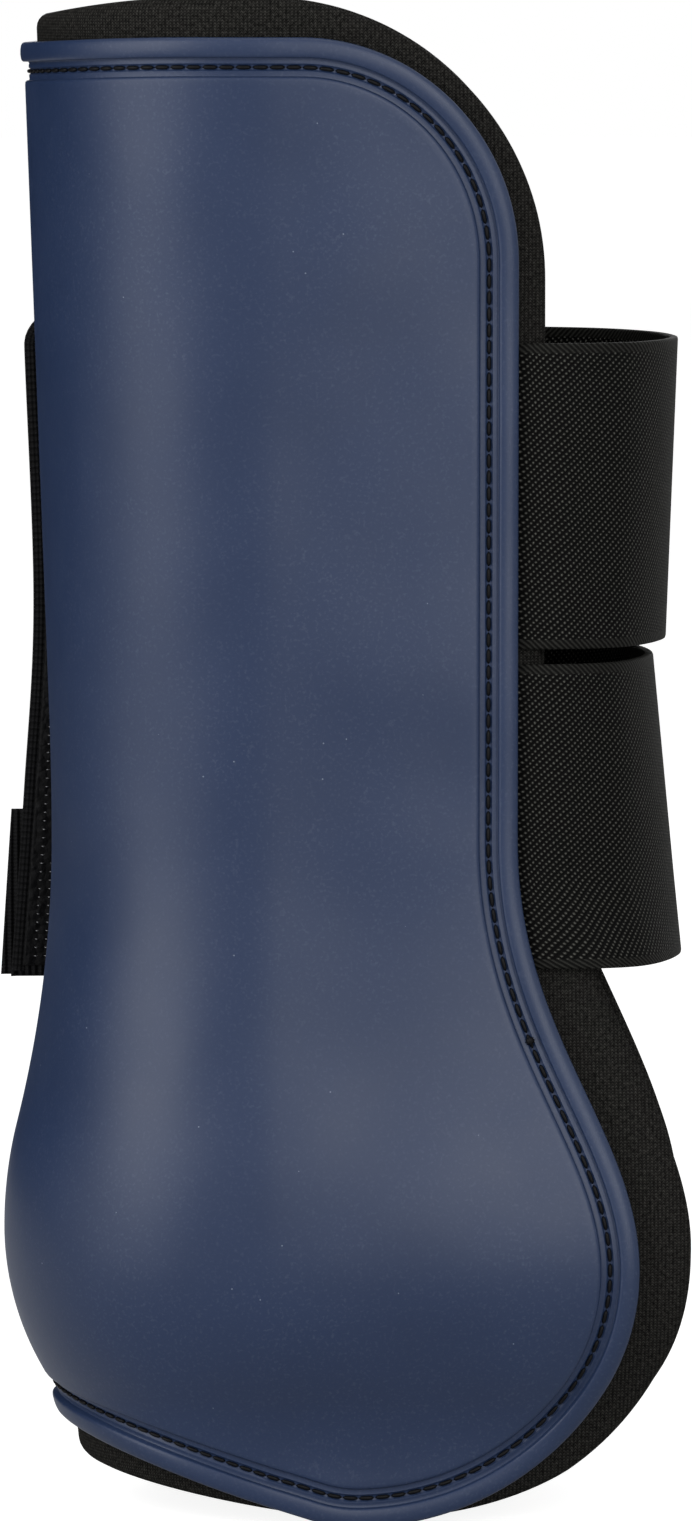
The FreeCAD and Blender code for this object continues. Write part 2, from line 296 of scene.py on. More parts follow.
@dataclass(frozen=True)
class WrapForm:
    """The wrap that the whole boot follows, from the axis its round back is turned about.

    Args:
        round_centre: Place of that axis in the side view.
        neck_height: Height of the waist over the fetlock, where the boot is slimmest.
        fetlock_height: Height where it is widest.
        hem_height: Height where the hem's flick ends.
        neck_radius: Distance of the shell's outer face from the axis at the waist.
        fetlock_radius: The same at the fetlock.
        cannon_taper: Angle at which the profile widens up the cannon bone.
        upper_waist_bend: Bend of the profile over the waist.
        bulge_bend: Bend of the profile over the fetlock.
        cup_bend: Bend of the profile under the fetlock.
        cup_turn: Angle through which it bends there.
        toe_in: Angle at which the straight sides close in.
        side_bend: Bend of those sides in plan.
        tail_bend: Bend of the trim that carries on past the back.
        flat_radius: Radius of the turn on the flat sheet.
    """

    round_centre: float = -3.0
    neck_height: float = 110.0
    fetlock_height: float = 45.5
    hem_height: float = 8.0
    neck_radius: float = 35.6
    fetlock_radius: float = 43.6
    cannon_taper: float = math.radians(2.05)
    upper_waist_bend: float = 600.0
    bulge_bend: float = 70.0
    cup_bend: float = 47.0
    cup_turn: float = math.radians(30.0)
    toe_in: float = math.radians(3.0)
    side_bend: float = 620.0
    tail_bend: float = 420.0
    flat_radius: float = 37.5

    def radius(self, z: Grid) -> Grid:
        """Distance of the shell's outer face from the axis, at each height.

        Args:
            z: Heights.

        Returns:
            The profile's arcs and its straight ends, each arc being its centre's distance plus or minus the
            root of its bend squared less the height from its centre squared.
        """
        z = np.asarray(z, float)
        growth = self.fetlock_radius - self.neck_radius
        drop = self.neck_height - self.fetlock_height
        waist = (growth**2 + drop**2) / (2 * growth) - self.bulge_bend
        bulge_turn = math.asin(drop / (waist + self.bulge_bend))
        flick = (self.fetlock_height - self.hem_height) / math.sin(self.cup_turn) - self.cup_bend
        hem_radius = self.fetlock_radius - (self.cup_bend + flick) * (1 - math.cos(self.cup_turn))
        taper_start = self.neck_height + self.upper_waist_bend * math.sin(self.cannon_taper)
        taper_radius = self.neck_radius + self.upper_waist_bend * (1 - math.cos(self.cannon_taper))
        bulge_start = self.fetlock_height + self.bulge_bend * math.sin(bulge_turn)
        flick_start = self.hem_height + flick * math.sin(self.cup_turn)

        def arc(centre: float, height: float, bend: float) -> Grid:
            """The arc about a centre, bulging outwards for a bend over zero and inwards under it."""
            root = np.sqrt(np.maximum(bend * bend - (z - height) ** 2, 0.0))
            return centre + math.copysign(1.0, bend) * root

        upper_waist_centre = self.neck_radius + self.upper_waist_bend
        bulge_centre = self.fetlock_radius - self.bulge_bend
        cup_centre = self.fetlock_radius - self.cup_bend
        stretches = (
            (taper_start, taper_radius + (z - taper_start) * math.tan(self.cannon_taper)),
            (self.neck_height, arc(upper_waist_centre, self.neck_height, -self.upper_waist_bend)),
            (bulge_start, arc(self.neck_radius + waist, self.neck_height, -waist)),
            (self.fetlock_height, arc(bulge_centre, self.fetlock_height, self.bulge_bend)),
            (flick_start, arc(cup_centre, self.fetlock_height, self.cup_bend)),
            (self.hem_height, arc(hem_radius + flick, self.hem_height, -flick)),
        )
        above = [z > start for start, _ in stretches]
        return np.select(above, [curve for _, curve in stretches], hem_radius)

    def shifted(self, z: Grid, offset: Grid) -> tuple[Grid, Grid]:
        """Move profile points along the profile's own normal.

        Args:
            z: Heights on the profile.
            offset: Distance outwards.

        Returns:
            Radius and height: offset over the root of one plus the slope squared is added to the radius, and
            the slope times that is taken from the height.
        """
        slope = (self.radius(z + SLOPE_STEP) - self.radius(z - SLOPE_STEP)) / (2 * SLOPE_STEP)
        size = np.sqrt(1 + slope * slope)
        return self.radius(z) + offset / size, z - offset * slope / size

    def place(self, along: Grid, z: Grid, offset: Grid) -> Grid:
        """Points of the wrap.

        Args:
            along: Distance round the wrap from the tendon line, minus on the near side, as on a wrap whose
                turn has flat_radius at every height, so that the flat sheet isn't sheared where it flares.
            z: Height.
            offset: Distance outwards from the shell's outer face.

        Returns:
            Array (..., 3). Up to the turn's end a point is on a circle of the profile's radius. Past it, it
            runs straight ahead, toed in, less a little for the side's own gentle bend.
        """
        along, z, offset = np.broadcast_arrays(along, z, offset)
        reach, height = self.shifted(z, offset)
        sign = np.where(along < 0, -1.0, 1.0)
        full = math.pi / 2 + self.toe_in
        turn = np.minimum(np.abs(along) / self.flat_radius, full)
        run = np.maximum(np.abs(along) - self.flat_radius * full, 0.0)
        sag = run * run / (2 * self.side_bend)
        x = self.round_centre - reach * np.cos(turn)
        y = reach * np.sin(turn)
        x = x + run * math.cos(self.toe_in) - sag * math.sin(self.toe_in)
        y = y - run * math.sin(self.toe_in) - sag * math.cos(self.toe_in)
        return np.stack([x, sign * y, height], axis=-1)

    def along(self, x: Grid, z: Grid) -> Grid:
        """Distance round the wrap of a side-view point, the reverse of place at no offset.

        Args:
            x: Place in the side view.
            z: Height.

        Returns:
            The arc cosine of x's share of the radius, times flat_radius, and past the turn's end the straight
            run as well.
        """
        base = self.radius(z)
        full = math.pi / 2 + self.toe_in
        turn_end = self.round_centre + base * math.sin(self.toe_in)
        turn = np.arccos(np.clip((self.round_centre - x) / base, -1.0, 1.0))
        run = np.maximum(x - turn_end, 0.0) / math.cos(self.toe_in)
        return self.flat_radius * np.minimum(turn, full) + np.where(x < turn_end, 0.0, run)

    def side_place(self, side: Side) -> Placer:
        """A placer for flat trim on one side, whose first coordinate is the side view's x.

        Args:
            side: Near or far.

        Returns:
            A function of x, height and offset. Behind the turn it carries straight on past the boot's back
            with a slight curl towards it.
        """

        def placer(x: Grid, z: Grid, offset: Grid) -> Grid:
            """Points of one side: a straight run, toed in, less the square of the run over twice its bend."""
            x, z, offset = np.broadcast_arrays(x, z, offset)
            base = self.radius(z)
            reach, height = self.shifted(z, offset)
            run = (x - self.round_centre - base * math.sin(self.toe_in)) / math.cos(self.toe_in)
            bend = np.where(run > 0, self.side_bend, self.tail_bend)
            sag = run * run / (2 * bend)
            px = self.round_centre + reach * math.sin(self.toe_in) + run * math.cos(self.toe_in)
            py = reach * math.cos(self.toe_in) - run * math.sin(self.toe_in) - sag
            return np.stack([px, side.value * py, height], axis=-1)

        return placer

    def side_y(self, x: Grid, z: Grid, offset: float) -> Grid:
        """Distance of a side from the mid-plane at x, height and offset."""
        return self.side_place(Side.FAR)(x, z, offset)[..., 1]


@dataclass(frozen=True)
class Rim:
    """One step of a sheet's edge profile: how far in from the outline, and the offset from the wrap."""

    inset: float
    offset: float


def rounded_rims(outer: float, inner: float, radius: float, steps: int = 5) -> list[Rim]:
    """Edge profile of a plain sheet whose edge is rounded.

    Args:
        outer: Offset of its outer face.
        inner: Offset of its inner face.
        radius: Rounding of both edges, at most half the thickness.
        steps: Points on each quarter.

    Returns:
        Rims from the outer face round the edge to the inner face.
    """
    turns = np.linspace(0.0, math.pi / 2, steps)
    top = [Rim(radius * (1 - math.sin(t)), outer - radius * (1 - math.cos(t))) for t in turns]
    low = [Rim(radius * (1 - math.cos(t)), inner + radius * (1 - math.sin(t))) for t in turns]
    return top + low


@dataclass
class Sheet:
    """A closed sheet of the wrap, given by four edges in flat coordinates.

    Args:
        top: Upper edge, a polyline (n, 2). The four run head to tail round the outline.
        front: Front edge.
        bottom: Lower edge.
        back: Back edge.
        across: Cells along the top and the bottom.
        down: Cells along the front and the back.
    """

    top: Grid
    front: Grid
    bottom: Grid
    back: Grid
    across: int
    down: int

    def loop(self) -> Grid:
        """The closed outline.

        Returns:
            Array (n, 2), evenly spaced on each edge, its first point repeated at its end.
        """
        edges = (self.top, self.front, self.bottom, self.back)
        cells = (self.across, self.down) * 2
        ring = np.concatenate([resample(edge, count + 1)[:-1] for edge, count in zip(edges, cells)])
        return np.concatenate([ring, ring[:1]])

    def normals(self) -> Grid:
        """Unit normals of the outline that point into the sheet.

        Returns:
            Array like loop's: the chord between each point's neighbours, turned by a right angle.
        """
        ring = self.loop()[:-1]
        chord = np.roll(ring, -1, axis=0) - np.roll(ring, 1, axis=0)
        inward = np.stack([chord[:, 1], -chord[:, 0]], axis=1)
        inward /= np.linalg.norm(inward, axis=1)[:, None]
        if np.sum((ring.mean(0) - ring) * inward) < 0:
            inward = -inward
        return np.concatenate([inward, inward[:1]])

    def ring(self, inset: float) -> Grid:
        """The outline moved into the sheet by inset."""
        return self.loop() + inset * self.normals()

    def field(self, inset: float) -> Grid:
        """The inside of an inset outline as a grid.

        Args:
            inset: How far the outline is moved into the sheet.

        Returns:
            Array (down + 1, across + 1, 2), each point the sum of the two straight blends between facing
            edges, less the blend of the four corners.
        """
        ring = self.ring(inset)[:-1]
        a, d = self.across, self.down
        top = ring[: a + 1]
        front = ring[a : a + d + 1]
        bottom = ring[a + d : 2 * a + d + 1][::-1]
        back = np.concatenate([ring[2 * a + d :], ring[:1]])[::-1]
        u = np.linspace(0, 1, a + 1)[None, :, None]
        v = np.linspace(0, 1, d + 1)[:, None, None]
        between = (1 - v) * top[None] + v * bottom[None] + (1 - u) * back[:, None] + u * front[:, None]
        top_corners = (1 - u) * (1 - v) * top[0] + u * (1 - v) * top[-1]
        low_corners = (1 - u) * v * bottom[0] + u * v * bottom[-1]
        return between - top_corners - low_corners

    def build(self, name: str, rims: Sequence[Rim], place: Placer, material: Material) -> Object:
        """The sheet as a closed piece.

        Args:
            name: Name of the object.
            rims: Edge profile, from the edge of the outer face to that of the inner face.
            place: Turns flat coordinates and an offset into points.
            material: Its finish.

        Returns:
            The object.
        """
        flat = np.stack([self.ring(rim.inset) for rim in rims])
        offsets = np.array([rim.offset for rim in rims])[:, None]
        patches = [Patch(place(flat[..., 0], flat[..., 1], offsets), flat)]
        for rim in (rims[0], rims[-1]):
            inside = self.field(rim.inset)
            patches.append(Patch(place(inside[..., 0], inside[..., 1], rim.offset), inside))
        return piece(name, patches, material)

    def band(self, name: str, rims: Sequence[Rim], place: Placer, material: Material) -> Object:
        """A closed binding that runs round the outline.

        Args:
            name: Name of the object.
            rims: Its cross-section, in order round it.
            place: Turns flat coordinates and an offset into points.
            material: Its finish.

        Returns:
            The object, whose cloth runs along the outline.
        """
        closed = [*rims, rims[0]]
        flat = np.stack([self.ring(rim.inset) for rim in closed])
        section = np.array([[rim.inset, rim.offset] for rim in closed])
        run = lengths_along(self.loop())
        cloth = np.stack(np.broadcast_arrays(run[None, :], lengths_along(section)[:, None]), axis=2)
        points = place(flat[..., 0], flat[..., 1], section[:, 1:2])
        return piece(name, [Patch(points, cloth)], material)


@dataclass(frozen=True)
class Seam:
    """A row of stitches in thread.

    Args:
        length: Length of each stitch.
        gap: Space between stitches.
        radius: Half the thread's thickness.
        rise: Height of a stitch's middle over its ends.
        steps: Points along each stitch.
        sides: Sides of its tube.
    """

    length: float = 3.0
    gap: float = 0.5
    radius: float = 0.26
    rise: float = 0.22
    steps: int = 7
    sides: int = 6

    def centres(self, lines: Sequence[Grid], share: Grid) -> Grid:
        """Flat places along each stitch.

        Args:
            lines: Polylines (n, 2) in flat coordinates.
            share: Shares of a stitch's length, array (steps,).

        Returns:
            Array (stitches, steps, 2). Each line holds a whole number of stitches, evenly spaced.
        """
        rows = []
        for line in lines:
            run = lengths_along(line)
            count = max(int(run[-1] / (self.length + self.gap)), 1)
            pitch = run[-1] / count
            at = np.arange(count)[:, None] * pitch + self.gap / 2 + share[None, :] * (pitch - self.gap)
            rows.append(np.stack([np.interp(at, run, line[:, k]) for k in range(2)], axis=-1))
        return np.concatenate(rows)

    def sew(
        self, name: str, lines: Sequence[Grid], offset: float, place: Placer, material: Material
    ) -> Object:
        """Stitches along flat lines.

        Each stitch is a tube about an arc: its centre rises by the sine of its share, and its radius falls to
        its ends as the root of one less the fourth power.

        Args:
            name: Name of the object.
            lines: Polylines (n, 2) in flat coordinates.
            offset: Offset of the ground that the thread lies on.
            place: Turns flat coordinates and an offset into points.
            material: The thread's finish.

        Returns:
            One object with all the stitches.
        """
        share = np.linspace(0.0, 1.0, self.steps)
        flat = self.centres(lines, share)
        lift = (offset + self.rise * np.sin(math.pi * share))[None, :]
        centre = place(flat[..., 0], flat[..., 1], lift)
        outward = place(flat[..., 0], flat[..., 1], lift + 1.0) - centre
        outward /= np.linalg.norm(outward, axis=-1, keepdims=True)
        forward = np.gradient(centre, axis=1)
        forward /= np.linalg.norm(forward, axis=-1, keepdims=True)
        across = np.cross(forward, outward)
        size = self.radius * np.sqrt(np.maximum(1.0 - (2 * share - 1) ** 4, 0.0))
        turn = np.linspace(0.0, 2 * math.pi, self.sides + 1)
        sideways = (size[:, None] * np.cos(turn))[None, ..., None] * across[:, :, None]
        upwards = (size[:, None] * np.sin(turn))[None, ..., None] * outward[:, :, None]
        return tubes(name, centre[:, :, None] + sideways + upwards, material)


def tubes(name: str, tube: Grid, material: Material) -> Object:
    """Many equal tubes as one piece.

    Args:
        name: Name of the object.
        tube: Array (tubes, steps, turns, 3) whose last turn repeats the first.
        material: Its finish.

    Returns:
        The object.
    """
    count, steps, turns = tube.shape[:3]
    faces = grid_faces(steps, turns, 0)
    corners = (faces[None] + np.arange(count)[:, None, None] * steps * turns).reshape(-1, 4)
    mesh = bpy.data.meshes.new(name)
    mesh.from_pydata((tube.reshape(-1, 3) * MM).tolist(), [], corners.tolist())
    close_mesh(mesh)
    mesh.shade_smooth()
    return link(name, mesh, material)


@dataclass(frozen=True)
class BootOutline:
    """Side outline of the shell or of the liner, from the tendon line over the front to the hem's back.

    Args:
        top: Height of the top edge in front.
        edge: Place of the straight front edge.
        corner_length: Half axis of the rounded upper corner along the top.
        corner_height: Its half axis down the front.
        flare_start: Height where the front edge begins to flare over the bulb.
        flare_pull_top: How long the flare keeps the front edge's direction.
        flare_pull_low: How long it keeps the bulb's upright direction.
        bulb: Furthest reach of the bulb.
        bulb_height: Height of that reach.
        low: Height of the keel.
        keel_x: Place of the keel, the hem's lowest point.
        hem_bend: Bend of the hem behind the keel.
        hem_slope: Slope that the hem then keeps.
        peak_x: Where the top edge begins to fall towards the back.
        back_drop: How far it has fallen at back_x.
        fullness: Power of the bulb's cosine and sine. Under 1 the bulb is fuller than an ellipse.
        back_x: Place of the round back in the side view.
        samples: Points on each stretch that isn't straight.
    """

    top: float
    edge: float
    corner_length: float
    corner_height: float
    flare_start: float
    flare_pull_top: float
    flare_pull_low: float
    bulb: float
    bulb_height: float
    low: float
    keel_x: float
    hem_bend: float
    hem_slope: float
    peak_x: float
    back_drop: float
    fullness: float = 1.0
    back_x: float = -42.0
    samples: int = 60

    def crest(self, x: Grid) -> Grid:
        """Height of the top edge: level in front, then falling to the back as a square.

        Args:
            x: Place in the side view.

        Returns:
            The top less the drop times the squared share of the way from the peak to the back.
        """
        share = np.clip((self.peak_x - x) / (self.peak_x - self.back_x), 0.0, 1.2)
        return self.top - self.back_drop * share * share

    def hem(self, x: Grid) -> Grid:
        """Height of the hem behind the keel.

        Args:
            x: Place in the side view.

        Returns:
            The keel's arc, and past its end the straight slope.
        """
        end_x = self.keel_x - self.hem_bend * math.sin(self.hem_slope)
        end_z = self.low + self.hem_bend * (1 - math.cos(self.hem_slope))
        root = np.sqrt(np.maximum(self.hem_bend**2 - (self.keel_x - x) ** 2, 0.0))
        sloped = end_z + (end_x - x) * math.tan(self.hem_slope)
        return np.where(x > end_x, self.low + self.hem_bend - root, sloped)

    def flare(self, count: int) -> Grid:
        """The front edge's flare over the bulb.

        Args:
            count: Number of points.

        Returns:
            Array (count, 2) of the cubic Bezier curve that leaves the front edge and meets the bulb upright.
        """
        t = np.linspace(0.0, 1.0, count)[:, None]
        start, leave, meet, end = np.array(
            [
                [self.edge, self.flare_start],
                [self.edge, self.flare_start - self.flare_pull_top],
                [self.bulb, self.bulb_height + self.flare_pull_low],
                [self.bulb, self.bulb_height],
            ]
        )
        return (1 - t) ** 3 * start + 3 * t * (1 - t) ** 2 * leave + 3 * t * t * (1 - t) * meet + t**3 * end

    def round_back(self, wrap: WrapForm, start_x: float, height: Callable[[Grid], Grid]) -> Grid:
        """Flat coordinates of an edge that crosses the round back, from start_x to the tendon line.

        Each turn of the wrap has its point where the edge's height and the wrap's radius agree, which a few
        rounds of putting one into the other find.

        Args:
            wrap: The wrap that the edge lies on.
            start_x: Where it starts in the side view.
            height: The edge's height at each x.

        Returns:
            Array (samples, 2).
        """
        z0 = float(height(np.array(start_x)))
        first = math.acos((wrap.round_centre - start_x) / float(wrap.radius(z0)))
        turn = np.linspace(first, 0.0, self.samples)
        z = np.full(self.samples, z0)
        for _ in range(SETTLING_ROUNDS):
            z = height(wrap.round_centre - wrap.radius(z) * np.cos(turn))
        return np.stack([turn * wrap.flat_radius, z], axis=1)

    def parts(self, wrap: WrapForm) -> dict[str, Grid]:
        """The far half of the outline in flat coordinates.

        Args:
            wrap: The wrap that it lies on.

        Returns:
            Named stretches, each an array (n, 2), from the tendon line's top round to its hem.
        """

        def flat(points: Grid) -> Grid:
            """Flat coordinates of side-view points."""
            return np.stack([wrap.along(points[:, 0], points[:, 1]), points[:, 1]], axis=1)

        behind = wrap.round_centre - BACK_OVERLAP
        start = self.edge - self.corner_length
        ahead = np.linspace(behind, start, self.samples // 3)
        top = np.stack([ahead, self.crest(ahead)], axis=1)
        corner_low = self.top - self.corner_height
        corner = quarter_ellipse((start, self.top), (self.edge, self.top), (self.edge, corner_low))
        front = np.linspace(corner[-1], (self.edge, self.flare_start), 2 * self.samples // 3)
        bulb = quarter_ellipse(
            (self.bulb, self.bulb_height), (self.bulb, self.low), (self.keel_x, self.low), self.fullness
        )
        hem_x = np.linspace(self.keel_x, behind, self.samples // 2)
        hem = np.stack([hem_x, self.hem(hem_x)], axis=1)
        return {
            "top": np.concatenate([self.round_back(wrap, behind, self.crest)[::-1], flat(top)[1:]]),
            "corner": flat(corner),
            "front": np.concatenate([flat(front)[1:], flat(self.flare(self.samples))[1:]]),
            "bulb": flat(bulb),
            "hem": np.concatenate([flat(hem)[1:], self.round_back(wrap, behind, self.hem)[1:]]),
        }

    def sheet(self, wrap: WrapForm, across: int, down: int) -> Sheet:
        """The whole outline as a sheet, its four edges meeting in the middle of the rounded corners.

        Args:
            wrap: The wrap that it lies on.
            across: Cells along the top and the hem.
            down: Cells down each front edge.

        Returns:
            The sheet, whose near half mirrors the far one.
        """
        parts = self.parts(wrap)
        corner, bulb = parts["corner"], parts["bulb"]
        half_top = np.concatenate([parts["top"], corner[1 : CORNER_MIDDLE + 1]])
        front = np.concatenate([corner[CORNER_MIDDLE:], parts["front"], bulb[1 : CORNER_MIDDLE + 1]])
        half_hem = np.concatenate([bulb[CORNER_MIDDLE:], parts["hem"]])
        mirror = np.array([-1.0, 1.0])
        top = np.concatenate([half_top[::-1] * mirror, half_top[1:]])
        bottom = np.concatenate([half_hem, half_hem[::-1][1:] * mirror])
        return Sheet(top, front, bottom, front[::-1] * mirror, across, down)

    def front_x(self, z: Grid) -> Grid:
        """The front edge's place in the side view at height z, read off the flare."""
        flare = self.flare(EDGE_SAMPLES)[::-1]
        return np.interp(z, flare[:, 1], flare[:, 0])


SHELL_OUTLINE = BootOutline(
    top=241.7,
    edge=37.8,
    corner_length=35.0,
    corner_height=36.0,
    flare_start=112.0,
    flare_pull_top=32.0,
    flare_pull_low=23.0,
    bulb=57.6,
    bulb_height=42.5,
    low=0.0,
    keel_x=12.0,
    hem_bend=24.0,
    hem_slope=math.radians(18.0),
    peak_x=-14.0,
    back_drop=1.0,
)

LINER_OUTLINE = BootOutline(
    top=247.7,
    edge=42.4,
    corner_length=46.0,
    corner_height=45.0,
    flare_start=122.0,
    flare_pull_top=26.0,
    flare_pull_low=24.0,
    bulb=66.4,
    bulb_height=46.0,
    low=0.6,
    keel_x=12.0,
    hem_bend=24.0,
    hem_slope=math.radians(8.7),
    peak_x=-16.0,
    back_drop=2.2,
    fullness=0.86,
)


def srgb(code: str, lighter: float = 1.0) -> Colour:
    """Linear colour of an sRGB hex code.

    Args:
        code: Six hex digits after a hash.
        lighter: Factor on the linear channels.

    Returns:
        Red, green, blue and full alpha, each by the sRGB curve.
    """
    channels = [int(code[k : k + 2], 16) / 255 for k in (1, 3, 5)]
    linear = [c / 12.92 if c <= 0.04045 else ((c + 0.055) / 1.055) ** 2.4 for c in channels]
    return (*(min(1.0, c * lighter) for c in linear), 1.0)


def add(tree: Tree, kind: str, inputs: dict | None = None, **settings: object) -> Node:
    """Add a node with its settings and links.

    Args:
        tree: The material's node tree.
        kind: The node's type name, after the part that all shader nodes share.
        inputs: Input name or number to a value, a socket to link, or a node whose first output is linked.
        settings: The node's own properties.

    Returns:
        The node.
    """
    node = tree.nodes.new(f"ShaderNode{kind}")
    for name, value in settings.items():
        setattr(node, name, value)
    for key, value in (inputs or {}).items():
        source = value.outputs[0] if isinstance(value, Node) else value
        if isinstance(source, Socket):
            tree.links.new(source, node.inputs[key])
        else:
            node.inputs[key].default_value = source
    return node


def ripple(tree: Tree, coordinate: Source, pitch: float) -> Node:
    """A pattern of even ribs.

    Args:
        tree: The material's node tree.
        coordinate: Coordinate in metres that crosses the ribs.
        pitch: Distance from rib to rib in millimetres.

    Returns:
        The sine of the coordinate's share of a pitch, scaled to run from 0 to 1.
    """
    turns = add(tree, "Math", {0: coordinate, 1: 2 * math.pi / (pitch * MM)}, operation="MULTIPLY")
    wave = add(tree, "Math", {0: turns}, operation="SINE")
    return add(tree, "Math", {0: wave, 1: 0.5, 2: 0.5}, operation="MULTIPLY_ADD")


@dataclass(frozen=True)
class Finish:
    """A material: its name, colour and the plain settings of its surface."""

    name: str
    colour: str
    roughness: float
    mirror: float = 0.5

    def start(self) -> tuple[Material, Tree, Node]:
        """Begin the material.

        Returns:
            The material, its node tree and its principled surface with the plain values set.
        """
        material = bpy.data.materials.new(self.name)
        material.use_nodes = True
        tree = material.node_tree
        surface = tree.nodes["Principled BSDF"]
        surface.inputs["Base Color"].default_value = srgb(self.colour)
        surface.inputs["Roughness"].default_value = self.roughness
        surface.inputs["Specular IOR Level"].default_value = self.mirror
        return material, tree, surface

    def cloth_map(self, tree: Tree) -> tuple[Source, Source, Source]:
        """Read the piece's cloth map.

        Args:
            tree: The material's node tree.

        Returns:
            The map in metres, its first coordinate and its second one.
        """
        cloth = add(tree, "UVMap", uv_map=CLOTH_MAP)
        flat = add(tree, "SeparateXYZ", {"Vector": cloth})
        return cloth, flat.outputs["X"], flat.outputs["Y"]

    def relief(
        self, surface: Node, height: Source, highlight_share: Source, highlight_colour: Colour, strength: float, depth: float
    ) -> None:
        """Raise a surface by a pattern and paint its raised threads lighter, as a painted highlight.

        Args:
            surface: The principled surface.
            height: The pattern, from 0 to 1.
            highlight_share: How much of the painted highlight colour each place has.
            highlight_colour: Painted highlight colour of the raised threads, lighter than the cloth's own
                colour.
            strength: Share of the relief that shows.
            depth: Height of the relief in millimetres.
        """
        tree = surface.id_data
        # Painted highlight: the raised threads are mixed towards a lighter colour.
        colour = add(tree, "Mix", {0: highlight_share, 6: srgb(self.colour), 7: highlight_colour}, data_type="RGBA")
        tree.links.new(colour.outputs[MIXED_COLOUR], surface.inputs["Base Color"])
        bump = add(tree, "Bump", {"Height": height, "Strength": strength, "Distance": depth * MM})
        tree.links.new(bump.outputs["Normal"], surface.inputs["Normal"])

    def make(self) -> Material:
        """The material. A plain finish has no pattern."""
        return self.start()[0]


@dataclass(frozen=True)
class MouldedVinyl(Finish):
    """Soft thermoplastic moulding with a matt-satin skin, which gives broad soft highlights.

    Its colour is a little cloudy, its skin has a faint grain and haze, and dust specks lie on it. The panel
    sags in slow waves between its ribs. Lengths are in millimetres.
    """

    grain: float = 0.9
    grain_depth: float = 0.05
    grain_strength: float = 0.2
    cloud: float = 22.0
    cloud_lightness: float = 1.2
    cloud_gloss: float = 0.18
    haze: float = 0.5
    haze_start: float = 0.54
    haze_end: float = 0.80
    haze_share: float = 0.13
    dust: str = "#8d95a6"
    speck_spacing: float = 3.8
    speck_size: float = 0.034
    speck_rarity: float = 0.62
    speck_share: float = 0.5
    wave: float = 42.0
    wave_depth: float = 2.7

    def make(self) -> Material:
        """The material, patterned on Object coordinates.

        Returns:
            The colour mixed with its lighter self by a slow noise, then with dust by a fine noise and at the
            middles of a few cells, over a bump of slow waves and grain.
        """
        material, tree, surface = self.start()
        place = add(tree, "TexCoord").outputs["Object"]
        grain = add(tree, "TexNoise", {"Vector": place, "Scale": 1 / (self.grain * MM), "Detail": 3.0})
        cloud = add(tree, "TexNoise", {"Vector": place, "Scale": 1 / (self.cloud * MM), "Detail": 5.0})
        fine = add(tree, "TexNoise", {"Vector": place, "Scale": 1 / (self.haze * MM), "Detail": 2.0})
        wave = add(tree, "TexNoise", {"Vector": place, "Scale": 1 / (self.wave * MM), "Detail": 1.0})
        cells = add(tree, "TexVoronoi", {"Vector": place, "Scale": 1 / (self.speck_spacing * MM)})
        haze_range = {"Value": fine, 1: self.haze_start, 2: self.haze_end, 3: 0.0, 4: self.haze_share}
        haze = add(tree, "MapRange", haze_range)
        hazed = add(tree, "Math", {0: haze, 1: cloud}, operation="MULTIPLY")
        chosen = {0: cells.outputs["Color"], 1: self.speck_rarity}
        rare = add(tree, "Math", chosen, operation="GREATER_THAN")
        near = add(tree, "Math", {0: cells, 1: self.speck_size}, operation="LESS_THAN")
        both = add(tree, "Math", {0: rare, 1: near}, operation="MULTIPLY")
        speck = add(tree, "Math", {0: both, 1: self.speck_share}, operation="MULTIPLY")
        light = srgb(self.colour, self.cloud_lightness)
        colour = add(tree, "Mix", {0: cloud, 6: srgb(self.colour), 7: light}, data_type="RGBA")
        for share in (hazed, speck):
            under = colour.outputs[MIXED_COLOUR]
            colour = add(tree, "Mix", {0: share, 6: under, 7: srgb(self.dust)}, data_type="RGBA")
        tree.links.new(colour.outputs[MIXED_COLOUR], surface.inputs["Base Color"])
        gloss = {0: cloud, 1: self.cloud_gloss, 2: self.roughness - 0.5 * self.cloud_gloss}
        rough = add(tree, "Math", gloss, operation="MULTIPLY_ADD")
        tree.links.new(rough.outputs[0], surface.inputs["Roughness"])
        sag = add(tree, "Bump", {"Height": wave, "Distance": self.wave_depth * MM})
        rough_skin = {"Height": grain, "Strength": self.grain_strength, "Distance": self.grain_depth * MM}
        skin = add(tree, "Bump", {**rough_skin, "Normal": sag})
        tree.links.new(skin.outputs["Normal"], surface.inputs["Normal"])
        return material


